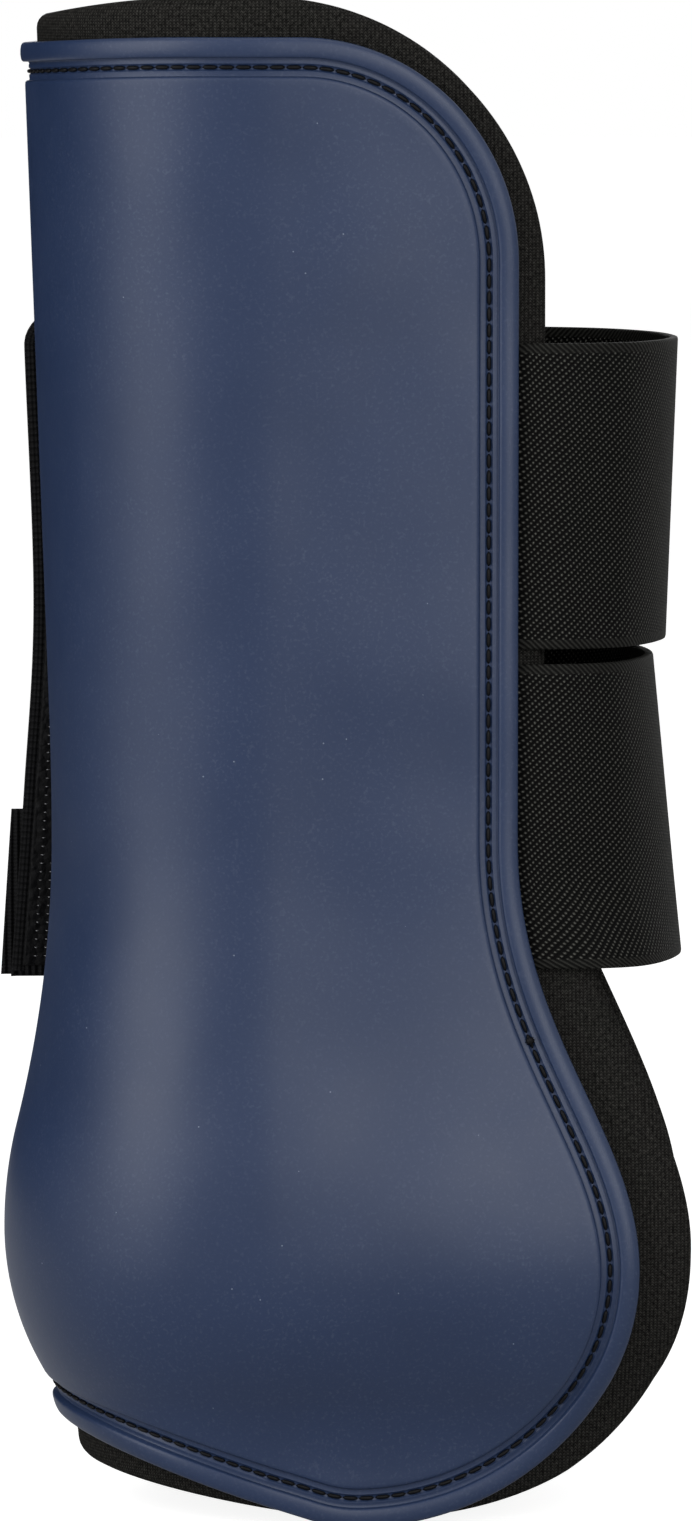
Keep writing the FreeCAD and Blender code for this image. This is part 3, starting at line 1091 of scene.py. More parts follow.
@dataclass(frozen=True)
class KnitJersey(Finish):
    """Fine nylon jersey on neoprene: near black, no gloss, tiny upright wales of V-shaped loops.

    The real loops are about 0.4 mm wide. They are drawn half as wide again, so that they show. Lengths are
    in millimetres.
    """

    # Colour of the painted highlight on the raised loops.
    glint: str = "#403f3c"
    wale: float = 0.62
    course: float = 0.48
    loop_lean: float = 1.2
    loop_share: float = 0.45
    fuzz: float = 2 / 3
    fuzz_share: float = 0.9
    wobble: float = 0.3
    wale_round: float = 0.6
    contrast: float = 2.5
    strength: float = 0.9
    depth: float = 0.22

    def make(self) -> Material:
        """The material, patterned on the cloth map: across the wales and up the courses.

        Returns:
            Ribs of the wales times ribs of the courses, which climb to each wale's middle, and fuzz on them.
        """
        material, tree, surface = self.start()
        cloth, across, up = self.cloth_map(tree)
        noise = add(tree, "TexNoise", {"Vector": cloth, "Scale": 1 / (self.fuzz * MM), "Detail": 3.0})
        strayed = {0: noise, 1: self.wobble * MM, 2: across}
        wales = ripple(tree, add(tree, "Math", strayed, operation="MULTIPLY_ADD"), self.wale)
        fold = add(tree, "Math", {0: across, 1: 0.5 * self.wale * MM}, operation="PINGPONG")
        slant = add(tree, "Math", {0: fold, 1: self.loop_lean, 2: up}, operation="MULTIPLY_ADD")
        loops = ripple(tree, slant, self.course)
        rounded = add(tree, "Math", {0: wales, 1: self.wale_round}, operation="POWER")
        knit = add(tree, "Math", {0: rounded, 1: loops}, operation="MULTIPLY")
        knit = add(tree, "Math", {0: knit, 1: self.loop_share}, operation="MULTIPLY")
        height = add(tree, "Math", {0: noise, 1: self.fuzz_share, 2: knit}, operation="MULTIPLY_ADD")
        highlight_share = add(tree, "Math", {0: height, 1: self.contrast}, operation="POWER", use_clamp=True)
        # Painted highlight: the raised loops take the glint colour.
        self.relief(surface, height, highlight_share, srgb(self.glint), self.strength, self.depth)
        return material


@dataclass(frozen=True)
class TwillElastic(Finish):
    """Woven elastic with a twill face: slanting ribs of polyester over rubber, flat selvedges, a soft sheen,
    partly painted as lighter raised threads.

    Lengths are in millimetres.
    """

    # Colour of the painted highlight on the raised threads.
    glint: str = "#5c5c57"
    rib: float = 1.18
    thread: float = 0.92
    width: float = 49.5
    selvedge: float = 1.6
    fuzz: float = 5 / 7
    wobble: float = 0.35
    base: float = 0.25
    thread_share: float = 0.75
    flat_share: float = 0.35
    contrast: float = 3.0
    strength: float = 0.9
    depth: float = 0.25

    def make(self) -> Material:
        """The material, patterned on the cloth map: along the strap and up its width.

        Returns:
            Ribs that climb one way times threads that climb the other, with flat threads on the selvedges.
        """
        material, tree, surface = self.start()
        cloth, along, across = self.cloth_map(tree)
        noise = add(tree, "TexNoise", {"Vector": cloth, "Scale": 1 / (self.fuzz * MM), "Detail": 2.0})
        climb = add(tree, "Math", {0: noise, 1: self.wobble * MM, 2: across}, operation="MULTIPLY_ADD")
        ribs = ripple(tree, add(tree, "Math", {0: climb, 1: along}, operation="SUBTRACT"), self.rib)
        threads = ripple(tree, add(tree, "Math", {0: climb, 1: along}, operation="ADD"), self.thread)
        raised = add(tree, "Math", {0: threads, 1: self.thread_share, 2: self.base}, operation="MULTIPLY_ADD")
        weave = add(tree, "Math", {0: ribs, 1: raised}, operation="MULTIPLY")
        flatter = add(tree, "Math", {0: threads, 1: self.flat_share, 2: self.base}, operation="MULTIPLY_ADD")
        low = add(tree, "Math", {0: across, 1: self.selvedge * MM}, operation="LESS_THAN")
        inside = (self.width - self.selvedge) * MM
        high = add(tree, "Math", {0: across, 1: inside}, operation="GREATER_THAN")
        edge = add(tree, "Math", {0: low, 1: high}, operation="MAXIMUM")
        height = add(tree, "Mix", {0: edge, 2: weave, 3: flatter})
        highlight_share = add(tree, "Math", {0: height, 1: self.contrast}, operation="POWER", use_clamp=True)
        # Painted highlight: the raised threads take the glint colour, the flat selvedges less of it.
        self.relief(surface, height, highlight_share, srgb(self.glint), self.strength, self.depth)
        return material


@dataclass(frozen=True)
class Pile(Finish):
    """The face of a hook or loop tape: a bed of tiny nylon tufts that breaks up the light, with a painted
    highlight on the tuft tops.

    Real tufts stand about 0.7 mm apart. They are drawn coarser, so that they show. Lengths are in
    millimetres.
    """

    tuft: float = 1.4
    depth: float = 0.6
    # Factor on the pile's colour for the painted highlight on the tuft tops.
    glint_lightness: float = 3.2

    def make(self) -> Material:
        """The material, patterned on Object coordinates.

        Returns:
            Rounded cells, whose height is one less the distance from the middle, times a noise.
        """
        material, tree, surface = self.start()
        place = add(tree, "TexCoord").outputs["Object"]
        scale = 1 / (self.tuft * MM)
        cells = add(tree, "TexVoronoi", {"Vector": place, "Scale": scale, "Randomness": 0.8})
        noise = add(tree, "TexNoise", {"Vector": place, "Scale": scale, "Detail": 4.0})
        tuft = add(tree, "Math", {0: 1.0, 1: cells}, operation="SUBTRACT")
        height = add(tree, "Math", {0: tuft, 1: noise}, operation="MULTIPLY")
        # Painted highlight: the tuft tops are drawn lighter than the pile's colour.
        self.relief(surface, height, height, srgb(self.colour, self.glint_lightness), 1.0, self.depth)
        return material


@dataclass(frozen=True)
class RibbedTape(Finish):
    """Narrow woven tape whose weft shows as ribs square to its edge. Lengths are in millimetres."""

    rib: float = 1.1
    fine_rib: float = 0.66
    fine_share: float = 0.3
    contrast: float = 0.7
    depth: float = 0.3
    # Factor on the tape's colour for the painted highlight on the raised ribs.
    glint_lightness: float = 2.4

    def make(self) -> Material:
        """The material, patterned on the cloth map along the tape.

        Returns:
            Ribs along the tape with fainter, finer ribs across it.
        """
        material, tree, surface = self.start()
        _, along, across = self.cloth_map(tree)
        ribs = ripple(tree, along, self.rib)
        fine = ripple(tree, across, self.fine_rib)
        height = add(tree, "Math", {0: fine, 1: self.fine_share, 2: ribs}, operation="MULTIPLY_ADD")
        highlight_share = add(tree, "Math", {0: height, 1: self.contrast}, operation="MULTIPLY", use_clamp=True)
        # Painted highlight: the raised ribs are drawn lighter than the tape's colour.
        self.relief(surface, height, highlight_share, srgb(self.colour, self.glint_lightness), 1.0, self.depth)
        return material


@dataclass
class Cloths:
    """All the finishes, made once."""

    vinyl: Material = field(init=False)
    jersey: Material = field(init=False)
    elastic: Material = field(init=False)
    hooks: Material = field(init=False)
    loops: Material = field(init=False)
    tape: Material = field(init=False)
    thread: Material = field(init=False)
    nylon: Material = field(init=False)

    def __post_init__(self) -> None:
        """Make each material."""
        self.vinyl = MouldedVinyl("moulded navy vinyl", "#1e2c48", 0.42, mirror=0.33).make()
        self.jersey = KnitJersey("black nylon jersey", "#070707", 0.92, mirror=0.03).make()
        self.elastic = TwillElastic("black woven elastic", "#040404", 0.6, mirror=0.04).make()
        self.hooks = Pile("black nylon hook tape", "#050506", 0.6, mirror=0.1).make()
        self.loops = Pile("black brushed loop pile", "#0d0d0e", 0.95, mirror=0.05, tuft=1.1, depth=0.4).make()
        self.tape = RibbedTape("black ribbed polyester tape", "#0c0c0d", 0.7, mirror=0.08).make()
        # The hooks are black nylon; their light grey colour is a painted glint.
        self.nylon = Finish("black nylon monofilament with painted glint", "#848486", 0.2, mirror=1.0).make()
        self.thread = Finish("black bonded polyester thread", "#08080a", 0.5, mirror=0.12).make()


@dataclass
class Shell:
    """The moulded shell: a bead on its edge, a sunk stitching channel and the plain panel inside it.

    Args:
        wrap: The wrap that it lies on.
        cloths: The finishes.
        wall: Thickness of the moulding.
        bead_width: Width of the bead.
        bead_rise: Height of the bead over the panel.
        bead_foot: Offset at which the bead turns into the edge.
        channel_width: Width of the channel.
        channel_depth: Depth of the channel.
        edge_round: Rounding of the inner edge.
        seam_inset: Distance of the seam from the edge.
        seam_sink: How far the thread is pulled into the channel's floor.
        seam: Stitches of the seam.
        knot_height: Height of the seam's tied end.
        knot_turns: Directions of the knot's turns, in degrees.
        knot_reach: Half the length of each turn.
        knot_seam: The knot's thread.
        across: Cells along the top and the hem.
        down: Cells down each front edge.
    """

    wrap: WrapForm
    cloths: Cloths
    wall: float = 2.2
    bead_width: float = 3.2
    bead_rise: float = 0.55
    bead_foot: float = -0.1
    channel_width: float = 3.0
    channel_depth: float = 0.7
    edge_round: float = 0.5
    seam_inset: float = 4.75
    seam_sink: float = 0.12
    seam: Seam = Seam(length=2.55, gap=0.08, radius=0.34, rise=0.1)
    knot_height: float = 79.5
    knot_turns: tuple[float, ...] = (20.0, 75.0, 130.0, 165.0)
    knot_reach: float = 0.9
    knot_seam: Seam = Seam(length=1.7, gap=0.1, radius=0.27, rise=0.45)
    across: int = 150
    down: int = 176

    def rims(self) -> list[Rim]:
        """The edge profile from the panel out over channel and bead and round to the inner face.

        Returns:
            The named stretches of the profile, each set at its own corner of the cross-section.
        """
        channel_end = self.bead_width + self.channel_width
        floor = -self.channel_depth
        soft = self.edge_round
        rims = [Rim(channel_end + inset, offset) for inset, offset in PANEL_SHOULDER]
        rims += [Rim(channel_end + inset, floor + offset) for inset, offset in CHANNEL_CORNER]
        rims += [Rim(self.seam_inset + inset, floor + offset) for inset, offset in SEAM_GROOVE]
        rims += [Rim(self.bead_width + inset, floor + offset) for inset, offset in BEAD_FOOT]
        rims += [Rim(width * self.bead_width, height * self.bead_rise) for width, height in BEAD_CROWN]
        rims.append(Rim(0.0, self.bead_foot))
        rims += [Rim(share * soft, rise * soft - self.wall) for share, rise in INNER_EDGE]
        rims.append(Rim(channel_end, -self.wall))
        return rims

    def build(self) -> None:
        """Make the shell and its channel stitching, which ride on the boot."""
        sheet = SHELL_OUTLINE.sheet(self.wrap, self.across, self.down)
        shell = sheet.build("moulded_shell", self.rims(), self.wrap.place, self.cloths.vinyl)
        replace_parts(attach(shell, "boot"), "shell")
        line = sheet.ring(self.seam_inset)
        ground = -self.channel_depth - self.seam_sink
        stitches = self.seam.sew("channel_stitches", [line], ground, self.wrap.place, self.cloths.thread)
        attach(stitches, "boot")
        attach(self.knot(line), "boot")
        log.info("shell: %d faces, seam %.0f mm", len(shell.data.polygons), lengths_along(line)[-1])

    def knot(self, line: Grid) -> Object:
        """The seam's tied end on the near side: a few short turns of thread across each other.

        Args:
            line: The seam's line in flat coordinates.

        Returns:
            The knot, at the foremost point of the near seam that has the knot's height.
        """
        near = line[line[:, 0] < 0.0]
        forward = FORWARD_CHOICE * near[:, 0] / near[:, 0].min()
        at = near[np.argmin(np.abs(near[:, 1] - self.knot_height) - forward)]
        turns = np.radians(self.knot_turns)
        reach = self.knot_reach * np.stack([np.cos(turns), np.sin(turns)], axis=1)
        lines = [np.linspace(at - way, at + way, 8) for way in reach]
        ground = -0.5 * self.channel_depth
        return self.knot_seam.sew("seam_knot", lines, ground, self.wrap.place, self.cloths.thread)


@dataclass
class Liner:
    """The neoprene liner, faced with jersey on both sides, with a rounded edge past the shell.

    Args:
        wrap: The wrap that it lies on.
        cloths: The finishes.
        outer: Offset of its outer face.
        thickness: Its thickness.
        edge_round: Rounding of its edge.
        edge_steps: Points on each quarter of that.
        fill: Share of its space that the padding fills. Not used.
        across: Cells along the top and the hem.
        down: Cells down each front edge.
    """

    wrap: WrapForm
    cloths: Cloths
    outer: float = -2.25
    thickness: float = 4.9
    edge_round: float = 2.4
    edge_steps: int = 6
    fill: float = 0.9
    across: int = 130
    down: int = 150

    def build(self) -> None:
        """Make the liner, which rides on the boot."""
        sheet = LINER_OUTLINE.sheet(self.wrap, self.across, self.down)
        rims = rounded_rims(self.outer, self.outer - self.thickness, self.edge_round, self.edge_steps)
        liner = sheet.build("jersey_liner", rims, self.wrap.place, self.cloths.jersey)
        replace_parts(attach(liner, "boot"), "liner")
        log.info("liner: %d faces", len(liner.data.polygons))


@dataclass
class StrapLoop:
    """One elastic strap, sewn under the shell's near edge, looped round the front and sewn on the panel.

    Args:
        name: Name of its CAD nodes.
        wrap: The wrap that it lies on.
        cloths: The finishes.
        top: Height of its upper selvedge.
        reach_top: How far its loop stands forward at the upper selvedge.
        reach_low: The same at the lower one.
        swing_start: Where along x its turn with the near joint would begin; the strap is not turned.
        swing_end: Where that turn would end.
        width: Width of the elastic.
        thickness: Its thickness.
        tail: Length sewn under the shell's edge.
        under_edge: Last place that is flat under the edge, behind the edge.
        over_edge: First place that lies on the liner, ahead of the edge.
        edge_step: How far it sinks there below its bed on the liner.
        lip_clear: Room between the liner's edge and the loop's spring.
        lip_least: Least place of that spring.
        bed: Offset of its inner face under the shell.
        on_liner: The same on the liner.
        on_panel: The same on the panel.
        far_bend: Where the loop meets the far side.
        panel_front: Front edge of the panel.
        end_x: End of the elastic.
        per_span: Points between two controls.
        selvedge_round: Rounding of the selvedges.
        face_points: Points across each face.
        fold_x: Place of the middle joint along x.
        fold_half: Half the width that would bend with it, along y.
        peel_start: Where along x its turn with the panel would begin.
        peel_end: Where that turn would end.
        peel_y: Distance of that bend from the mid-plane.
    """

    name: str
    wrap: WrapForm
    cloths: Cloths
    top: float
    reach_top: float
    reach_low: float
    swing_start: float
    swing_end: float
    width: float = 49.5
    thickness: float = 1.4
    tail: float = 8.6
    under_edge: float = 1.5
    over_edge: float = 1.6
    edge_step: float = 0.35
    lip_clear: float = 0.8
    lip_least: float = 46.0
    bed: float = -3.65
    on_liner: float = -2.0
    on_panel: float = 4.25
    far_bend: float = 35.0
    panel_front: float = 23.0
    end_x: float = 5.0
    per_span: int = 10
    selvedge_round: float = 0.45
    face_points: int = 26
    fold_x: float = 60.0
    fold_half: float = 10.0
    peel_start: float = 29.0
    peel_end: float = 18.5
    peel_y: float = 40.0

    def controls(self, z: Grid) -> Grid:
        """Control points of the strap's inner face in plan.

        Args:
            z: Heights, array (m,).

        Returns:
            Array (13, m, 2) from the sewn tail, under the shell's edge, over the liner, round two quarters
            of an ellipse to the far side and back to the end on the panel.
        """
        edge = SHELL_OUTLINE.front_x(z)
        lip = np.maximum(LINER_OUTLINE.front_x(z) + self.lip_clear, self.lip_least)
        bend = np.full_like(z, self.far_bend)
        share = (self.top - z) / self.width
        front = self.reach_top + (self.reach_low - self.reach_top) * share - self.thickness

        def near(x: Grid, offset: float) -> Grid:
            """Points of the near side."""
            return np.stack([x, -self.wrap.side_y(x, z, offset)], axis=-1)

        def far(x: float) -> Grid:
            """Points on the far side's panel."""
            along = np.full_like(z, x)
            return np.stack([along, self.wrap.side_y(along, z, self.on_panel)], axis=-1)

        def turn(start: Grid, side: Side, offset: float, degrees: float) -> Grid:
            """Points of a quarter ellipse from a side to the loop's front, by sine and cosine."""
            angle = math.radians(degrees)
            x = start + (front - start) * math.sin(angle)
            return np.stack([x, side.value * self.wrap.side_y(start, z, offset) * math.cos(angle)], axis=-1)

        return np.stack(
            [
                near(edge - self.tail, self.bed),
                near(edge - self.under_edge, self.bed),
                near(edge + self.over_edge, self.on_liner - self.edge_step),
                near(lip, self.on_liner),
                turn(lip, Side.NEAR, self.on_liner, 32.0),
                turn(lip, Side.NEAR, self.on_liner, 62.0),
                np.stack([front, np.zeros_like(z)], axis=-1),
                turn(bend, Side.FAR, self.on_panel, 62.0),
                turn(bend, Side.FAR, self.on_panel, 34.0),
                far(self.far_bend),
                far(self.panel_front),
                far(0.5 * (self.panel_front + self.end_x)),
                far(self.end_x),
            ]
        )

    def section(self) -> tuple[Grid, Grid]:
        """Cross-section of the band.

        Returns:
            Height over its lower selvedge, and share of its thickness outwards, in order round it.
        """
        up = np.linspace(self.selvedge_round, self.width - self.selvedge_round, self.face_points)
        ease = self.selvedge_round * np.array(SELVEDGE_EASE)
        rise = np.array(SELVEDGE_RISE)
        height = np.concatenate([up, self.width - ease, up[::-1], ease, up[:1]])
        share = np.concatenate([np.ones_like(up), rise, np.zeros_like(up), rise[::-1], [1.0]])
        return height, share

    def surface(self) -> tuple[Grid, Grid]:
        """The whole band before it is cut at the joints.

        Returns:
            Points (q, m, 3) and cloth coordinates (q, m, 2). Each point is the inner face's curve at its
            height, moved outwards square to the curve by its share of the thickness.
        """
        height, share = self.section()
        z = self.top - self.width + height
        inner = smooth_path(self.controls(z), self.per_span)
        forward = np.gradient(inner, axis=0)
        forward /= np.linalg.norm(forward, axis=-1, keepdims=True)
        outward = np.stack([forward[..., 1], -forward[..., 0]], axis=-1)
        plan = inner + outward * (share * self.thickness)[None, :, None]
        points = np.concatenate([plan, np.broadcast_to(z[None, :, None], plan.shape[:2] + (1,))], axis=-1)
        run = lengths_along(inner[:, len(z) // 4])
        cloth = np.stack(np.broadcast_arrays(run[:, None], height[None, :]), axis=-1)
        return points, cloth

    def stretch(self, part: str, first: int, last: int, rests_on: Sequence[str]) -> Object:
        """One stretch of the band between two control points, closed at both ends.

        Args:
            part: What it adds to the strap's name.
            first: Number of its first control point.
            last: Number of its last one.
            rests_on: Names of the pieces that it lies on. Not used.

        Returns:
            The stretch.
        """
        points, cloth = self.surface()
        rows = slice(first * self.per_span, last * self.per_span + 1)
        points, cloth = points[rows], cloth[rows]
        patches = [Patch(points, cloth)]
        half = (points.shape[1] + 1) // 2
        for row in (0, -1):
            ends = (np.stack([rim[row][:half], rim[row][::-1][:half]]) for rim in (points, cloth))
            patches.append(Patch(*ends))
        made = piece(f"{self.name}_{part}", patches, self.cloths.elastic, crease=60.0)
        return made

    def build(self) -> None:
        """Make the strap in three stretches, each of which lies across one joint."""
        name = self.name
        swing = self.stretch("at_seam", 0, 3, ("moulded_shell", "jersey_liner"))
        fold = self.stretch("loop", 3, 9, (f"{name}_at_seam", f"{name}_sewn_end"))
        end = self.stretch("sewn_end", 9, 12, ("panel_backing",))
        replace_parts(swing, f"{name}_tail", f"{name}_near")
        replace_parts(fold, f"{name}_far")
        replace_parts(end, f"{name}_end")
        self.bend(swing, "boot", "straps_near", (self.swing_start, 0.0), (self.swing_end, 0.0))
        fold_start, fold_end = (self.fold_x, -self.fold_half), (self.fold_x, self.fold_half)
        self.bend(fold, "straps_near", "straps_far", fold_start, fold_end)
        self.bend(end, "straps_far", "closure", (self.peel_start, self.peel_y), (self.peel_end, self.peel_y))
        log.info("%s: loop of %d faces", name, len(fold.data.polygons))

    def bend(self, stretch: Object, first: str, second: str, start: Point, end: Point) -> None:
        """Bake a stretch's placement into its mesh; the plan places where it would turn from one body to the
        next are worked out and left unused.

        Args:
            stretch: The stretch of elastic.
            first: Body that carries its start. Not used.
            second: Body that carries its end. Not used.
            start: Plan place in millimetres where it leaves the first body.
            end: Plan place where it is wholly on the second.
        """
        middle = self.top - 0.5 * self.width
        from_point, to_point = (tuple(c * MM for c in (*place, middle)) for place in (start, end))
        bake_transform(stretch)
        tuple(from_point)
        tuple(to_point)


@dataclass
class Closure:
    """The fastener on the far side: loop pad, hook tape on a woven backing, its border, seams and pull tab.

    Places along x and heights are those of the side view. Offsets are outwards from the shell's face.

    Args:
        wrap: The wrap that it lies on.
        cloths: The finishes.
        straps_top: Upper selvedge of the upper strap.
        straps_low: Lower selvedge of the lower strap.
        strap_width: Width of each strap.
        strap_thickness: Thickness of each strap.
        pad_front: Front edge of the loop pad.
        pad_back: Its back edge.
        pad_thickness: Its thickness.
        pad_round: Rounding of its edge.
        pad_seam_inset: Distance of its seam from its edge.
        hook_low: Offset of the hook tape's inner face.
        hook_high: Offset of its outer face, and of the backing's inner face.
        hook_tuck: How far its edge lies inside the panel's.
        backing_high: Offset of the backing's outer face.
        backing_round: Rounding of the backing's edge.
        backing_tuck: How far its edge lies inside the panel's.
        tape_round: Rounding of the hook tape's and the tab's edges.
        front: Front edge of the panel.
        back: Its back edge at the waist.
        corner_x: Its back edge at the upper corner.
        toe: Its back edge at its lower end.
        waist_height: Height of the panel's waist.
        waist_share: Share of the toe in the back edge halfway down from the waist.
        above: How far the panel stands over the straps.
        below: How far it hangs under them.
        corner_length: Half axis of its round upper corner along the top.
        corner_height: Its half axis down the back.
        border: Width of the ribbed border.
        border_step: How far the border stands over the backing.
        border_under: How far it reaches under the hook tape's outer face.
        border_seam_inset: Distance of its seam from the panel's edge.
        strip_front: Front end of the rows of hooks.
        hook_pitch: Distance from row to row.
        hook_margin: Plain ends of the tape over and under the rows.
        hook_clear: Distance of the rows from the border.
        seam_front: Distance of the boxed seams from the panel's front edge.
        seam_length: Length of each boxed seam.
        seam_margin: Its distance from the strap's selvedges.
        tab_x: Back end of the pull tab's lower edge.
        tab_height: Height of the tab.
        tab_width: Its width.
        tab_lean: How far its back edge leans in towards its top.
        tab_low: Offset of its inner face over the backing.
        tab_high: Offset of its outer face over the backing.
        tab_seam_inset: Distance of its seam from its edge.
        pad_cells: Cells of the loop pad, along its top and down its front.
        panel_cells: Cells of the panel's layers.
        tab_cells: Cells of the tab.
        edge_points: Points on a straight edge.
        back_span: Points between two controls of the panel's back edge.
        pad_seam: Stitches of the loop pad and the boxed seams.
        border_seam: Stitches of the border.
        tab_seam: Stitches of the tab.
        hooks: The nylon hooks, as stitches that stand in from the tape.
    """

    wrap: WrapForm
    cloths: Cloths
    straps_top: float = 192.6
    straps_low: float = 91.2
    strap_width: float = 49.5
    strap_thickness: float = 1.4
    pad_front: float = 28.0
    pad_back: float = -14.0
    pad_thickness: float = 1.6
    pad_round: float = 0.6
    pad_seam_inset: float = 2.2
    hook_low: float = 2.0
    hook_high: float = 3.3
    hook_tuck: float = 2.08
    backing_high: float = 4.2
    backing_round: float = 0.4
    backing_tuck: float = 0.6
    tape_round: float = 0.5
    front: float = 23.0
    back: float = -43.0
    corner_x: float = -44.5
    toe: float = -47.0
    waist_height: float = 146.0
    waist_share: float = 0.42
    above: float = 5.0
    below: float = 9.2
    corner_length: float = 13.0
    corner_height: float = 8.0
    border: float = 2.6
    border_step: float = 0.2
    border_under: float = 0.75
    border_seam_inset: float = 1.7
    strip_front: float = -16.0
    hook_pitch: float = 1.45
    hook_margin: float = 4.0
    hook_clear: float = 0.6
    seam_front: float = 4.5
    seam_length: float = 11.0
    seam_margin: float = 2.5
    tab_x: float = -48.8
    tab_height: float = 29.0
    tab_width: float = 16.5
    tab_lean: float = 1.9
    tab_low: float = 0.15
    tab_high: float = 1.35
    tab_seam_inset: float = 1.8
    pad_cells: tuple[int, int] = (40, 90)
    panel_cells: tuple[int, int] = (60, 100)
    tab_cells: tuple[int, int] = (16, 28)
    edge_points: int = 30
    back_span: int = 14
    pad_seam: Seam = Seam(length=2.6, radius=0.3)
    border_seam: Seam = Seam(length=2.4)
    tab_seam: Seam = Seam(length=2.2, gap=0.45)
    hooks: Seam = Seam(length=0.75, gap=0.9, radius=0.1, rise=-0.75)

    @property
    def low(self) -> float:
        """Lower edge of the panel and of the tab."""
        return self.straps_low - self.below

    @property
    def halfway(self) -> Point:
        """The back edge's place halfway from the waist to the lower end."""
        x = (1 - self.waist_share) * self.back + self.waist_share * self.toe
        return x, 0.5 * (self.waist_height + self.low)

    def four_sided(self, corners: Sequence[Point], cells: tuple[int, int]) -> Sheet:
        """A sheet with four straight edges.

        Args:
            corners: Its upper back, upper front, lower front and lower back corner.
            cells: Cells along the top and down the front.

        Returns:
            The sheet.
        """
        ends = zip(corners, [*corners[1:], corners[0]])
        return Sheet(*(np.linspace(start, end, self.edge_points) for start, end in ends), *cells)

    def back_x(self, z: Grid) -> Grid:
        """The panel's back edge, straight between the controls of its outline.

        Args:
            z: Heights.

        Returns:
            Its place in the side view.
        """
        middle_x, middle_z = self.halfway
        heights = [self.low, middle_z, self.waist_height, self.straps_top]
        return np.interp(z, heights, [self.toe, middle_x, self.back, self.corner_x])

    def panel_sheet(self, inset: float) -> Sheet:
        """The panel's outline: square in front, round at its upper back corner, toed out below.

        Args:
            inset: How far it is moved in from the panel's edge.

        Returns:
            The sheet, whose back edge is a smooth path through its controls.
        """
        top = self.straps_top + self.above - inset
        low = self.low + inset
        front = self.front - inset
        back = self.corner_x + inset
        corner_low = top - self.corner_height + inset
        corner_front = self.corner_x + self.corner_length
        corner = quarter_ellipse((back, corner_low), (back, top), (corner_front, top))
        middle_x, middle_z = self.halfway
        controls = [
            (self.toe + inset, low),
            (middle_x + inset, middle_z + 0.5 * inset),
            (self.back + inset, self.waist_height),
            (back, corner_low),
        ]
        edge = smooth_path(np.array(controls), self.back_span)
        straight_top = np.linspace(corner[-1], (front, top), self.edge_points)
        return Sheet(
            np.concatenate([corner[CORNER_MIDDLE:], straight_top[1:]]),
            np.linspace((front, top), (front, low), self.edge_points),
            np.linspace((front, low), (self.toe + inset, low), self.edge_points),
            np.concatenate([edge, corner[1 : CORNER_MIDDLE + 1]]),
            *self.panel_cells,
        )

    def stitch(self, name: str, seam: Seam, lines: Sequence[Grid], offset: float, body: str) -> None:
        """Sew a seam on the far side.

        Args:
            name: Name of the stitches.
            seam: Their size.
            lines: Lines in the side view.
            offset: Offset of the ground under the thread.
            body: Body that they ride on.
        """
        place = self.wrap.side_place(Side.FAR)
        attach(seam.sew(name, lines, offset, place, self.cloths.thread), body)

    def build_pad(self, place: Placer) -> None:
        """Make the loop pad sewn to the shell.

        Args:
            place: Turns side-view coordinates and an offset into points.
        """
        x0, x1, z0, z1 = self.pad_back, self.pad_front, self.straps_low, self.straps_top
        sheet = self.four_sided([(x0, z1), (x1, z1), (x1, z0), (x0, z0)], self.pad_cells)
        rims = rounded_rims(self.pad_thickness, 0.0, self.pad_round)
        pad = sheet.build("loop_pad_pile", rims, place, self.cloths.loops)
        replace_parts(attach(pad, "boot"), "loop_pad")
        line = sheet.ring(self.pad_seam_inset)
        self.stitch("pad_stitches", self.pad_seam, [line], self.pad_thickness, "boot")

    def build_panel(self, place: Placer) -> None:
        """Make the panel: hook tape inside, woven backing outside, and a ribbed border round both.

        Args:
            place: Turns side-view coordinates and an offset into points.
        """
        hook_rims = rounded_rims(self.hook_high, self.hook_low, self.tape_round)
        hooks = self.panel_sheet(self.hook_tuck).build("hook_pile", hook_rims, place, self.cloths.hooks)
        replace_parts(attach(hooks, "closure"), "hook_tape")
        backing_rims = rounded_rims(self.backing_high, self.hook_high, self.backing_round)
        backing_sheet = self.panel_sheet(self.backing_tuck)
        backing = backing_sheet.build("panel_backing", backing_rims, place, self.cloths.tape)
        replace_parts(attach(backing, "closure"), "closure_backing")
        outline = self.panel_sheet(0.0)
        high = self.backing_high + self.border_step
        low = self.hook_high - self.border_under
        steps = ((self.border, -0.25), (self.border - 0.3, 0.0), (0.6, 0.0), (0.15, -0.25))
        over = [Rim(inset, high + drop) for inset, drop in steps]
        under = [Rim(rim.inset, high + low - rim.offset) for rim in reversed(over)]
        binding = [*over, Rim(0.0, 0.5 * (high + low)), *under]
        border = outline.band("panel_border", binding, place, self.cloths.tape)
        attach(border, "closure")
        line = outline.ring(self.border_seam_inset)
        self.stitch("border_stitches", self.border_seam, [line], high, "closure")

    def build_hooks(self, place: Placer) -> None:
        """Make rows of tiny nylon hooks on the strip of the panel that stands free behind the loop pad.

        Args:
            place: Turns side-view coordinates and an offset into points.
        """
        top = self.straps_top + self.above
        rows = np.arange(self.low + self.hook_margin, top - self.hook_margin, self.hook_pitch)
        back = self.back_x(rows) + self.border + self.hook_clear
        lines = [np.linspace((x, z), (self.strip_front, z), 12) for x, z in zip(back, rows)]
        hooks = self.hooks.sew("hook_loops", lines, self.hook_low, place, self.cloths.nylon)
        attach(hooks, "closure")
        log.info("hooks: %d faces", len(hooks.data.polygons))

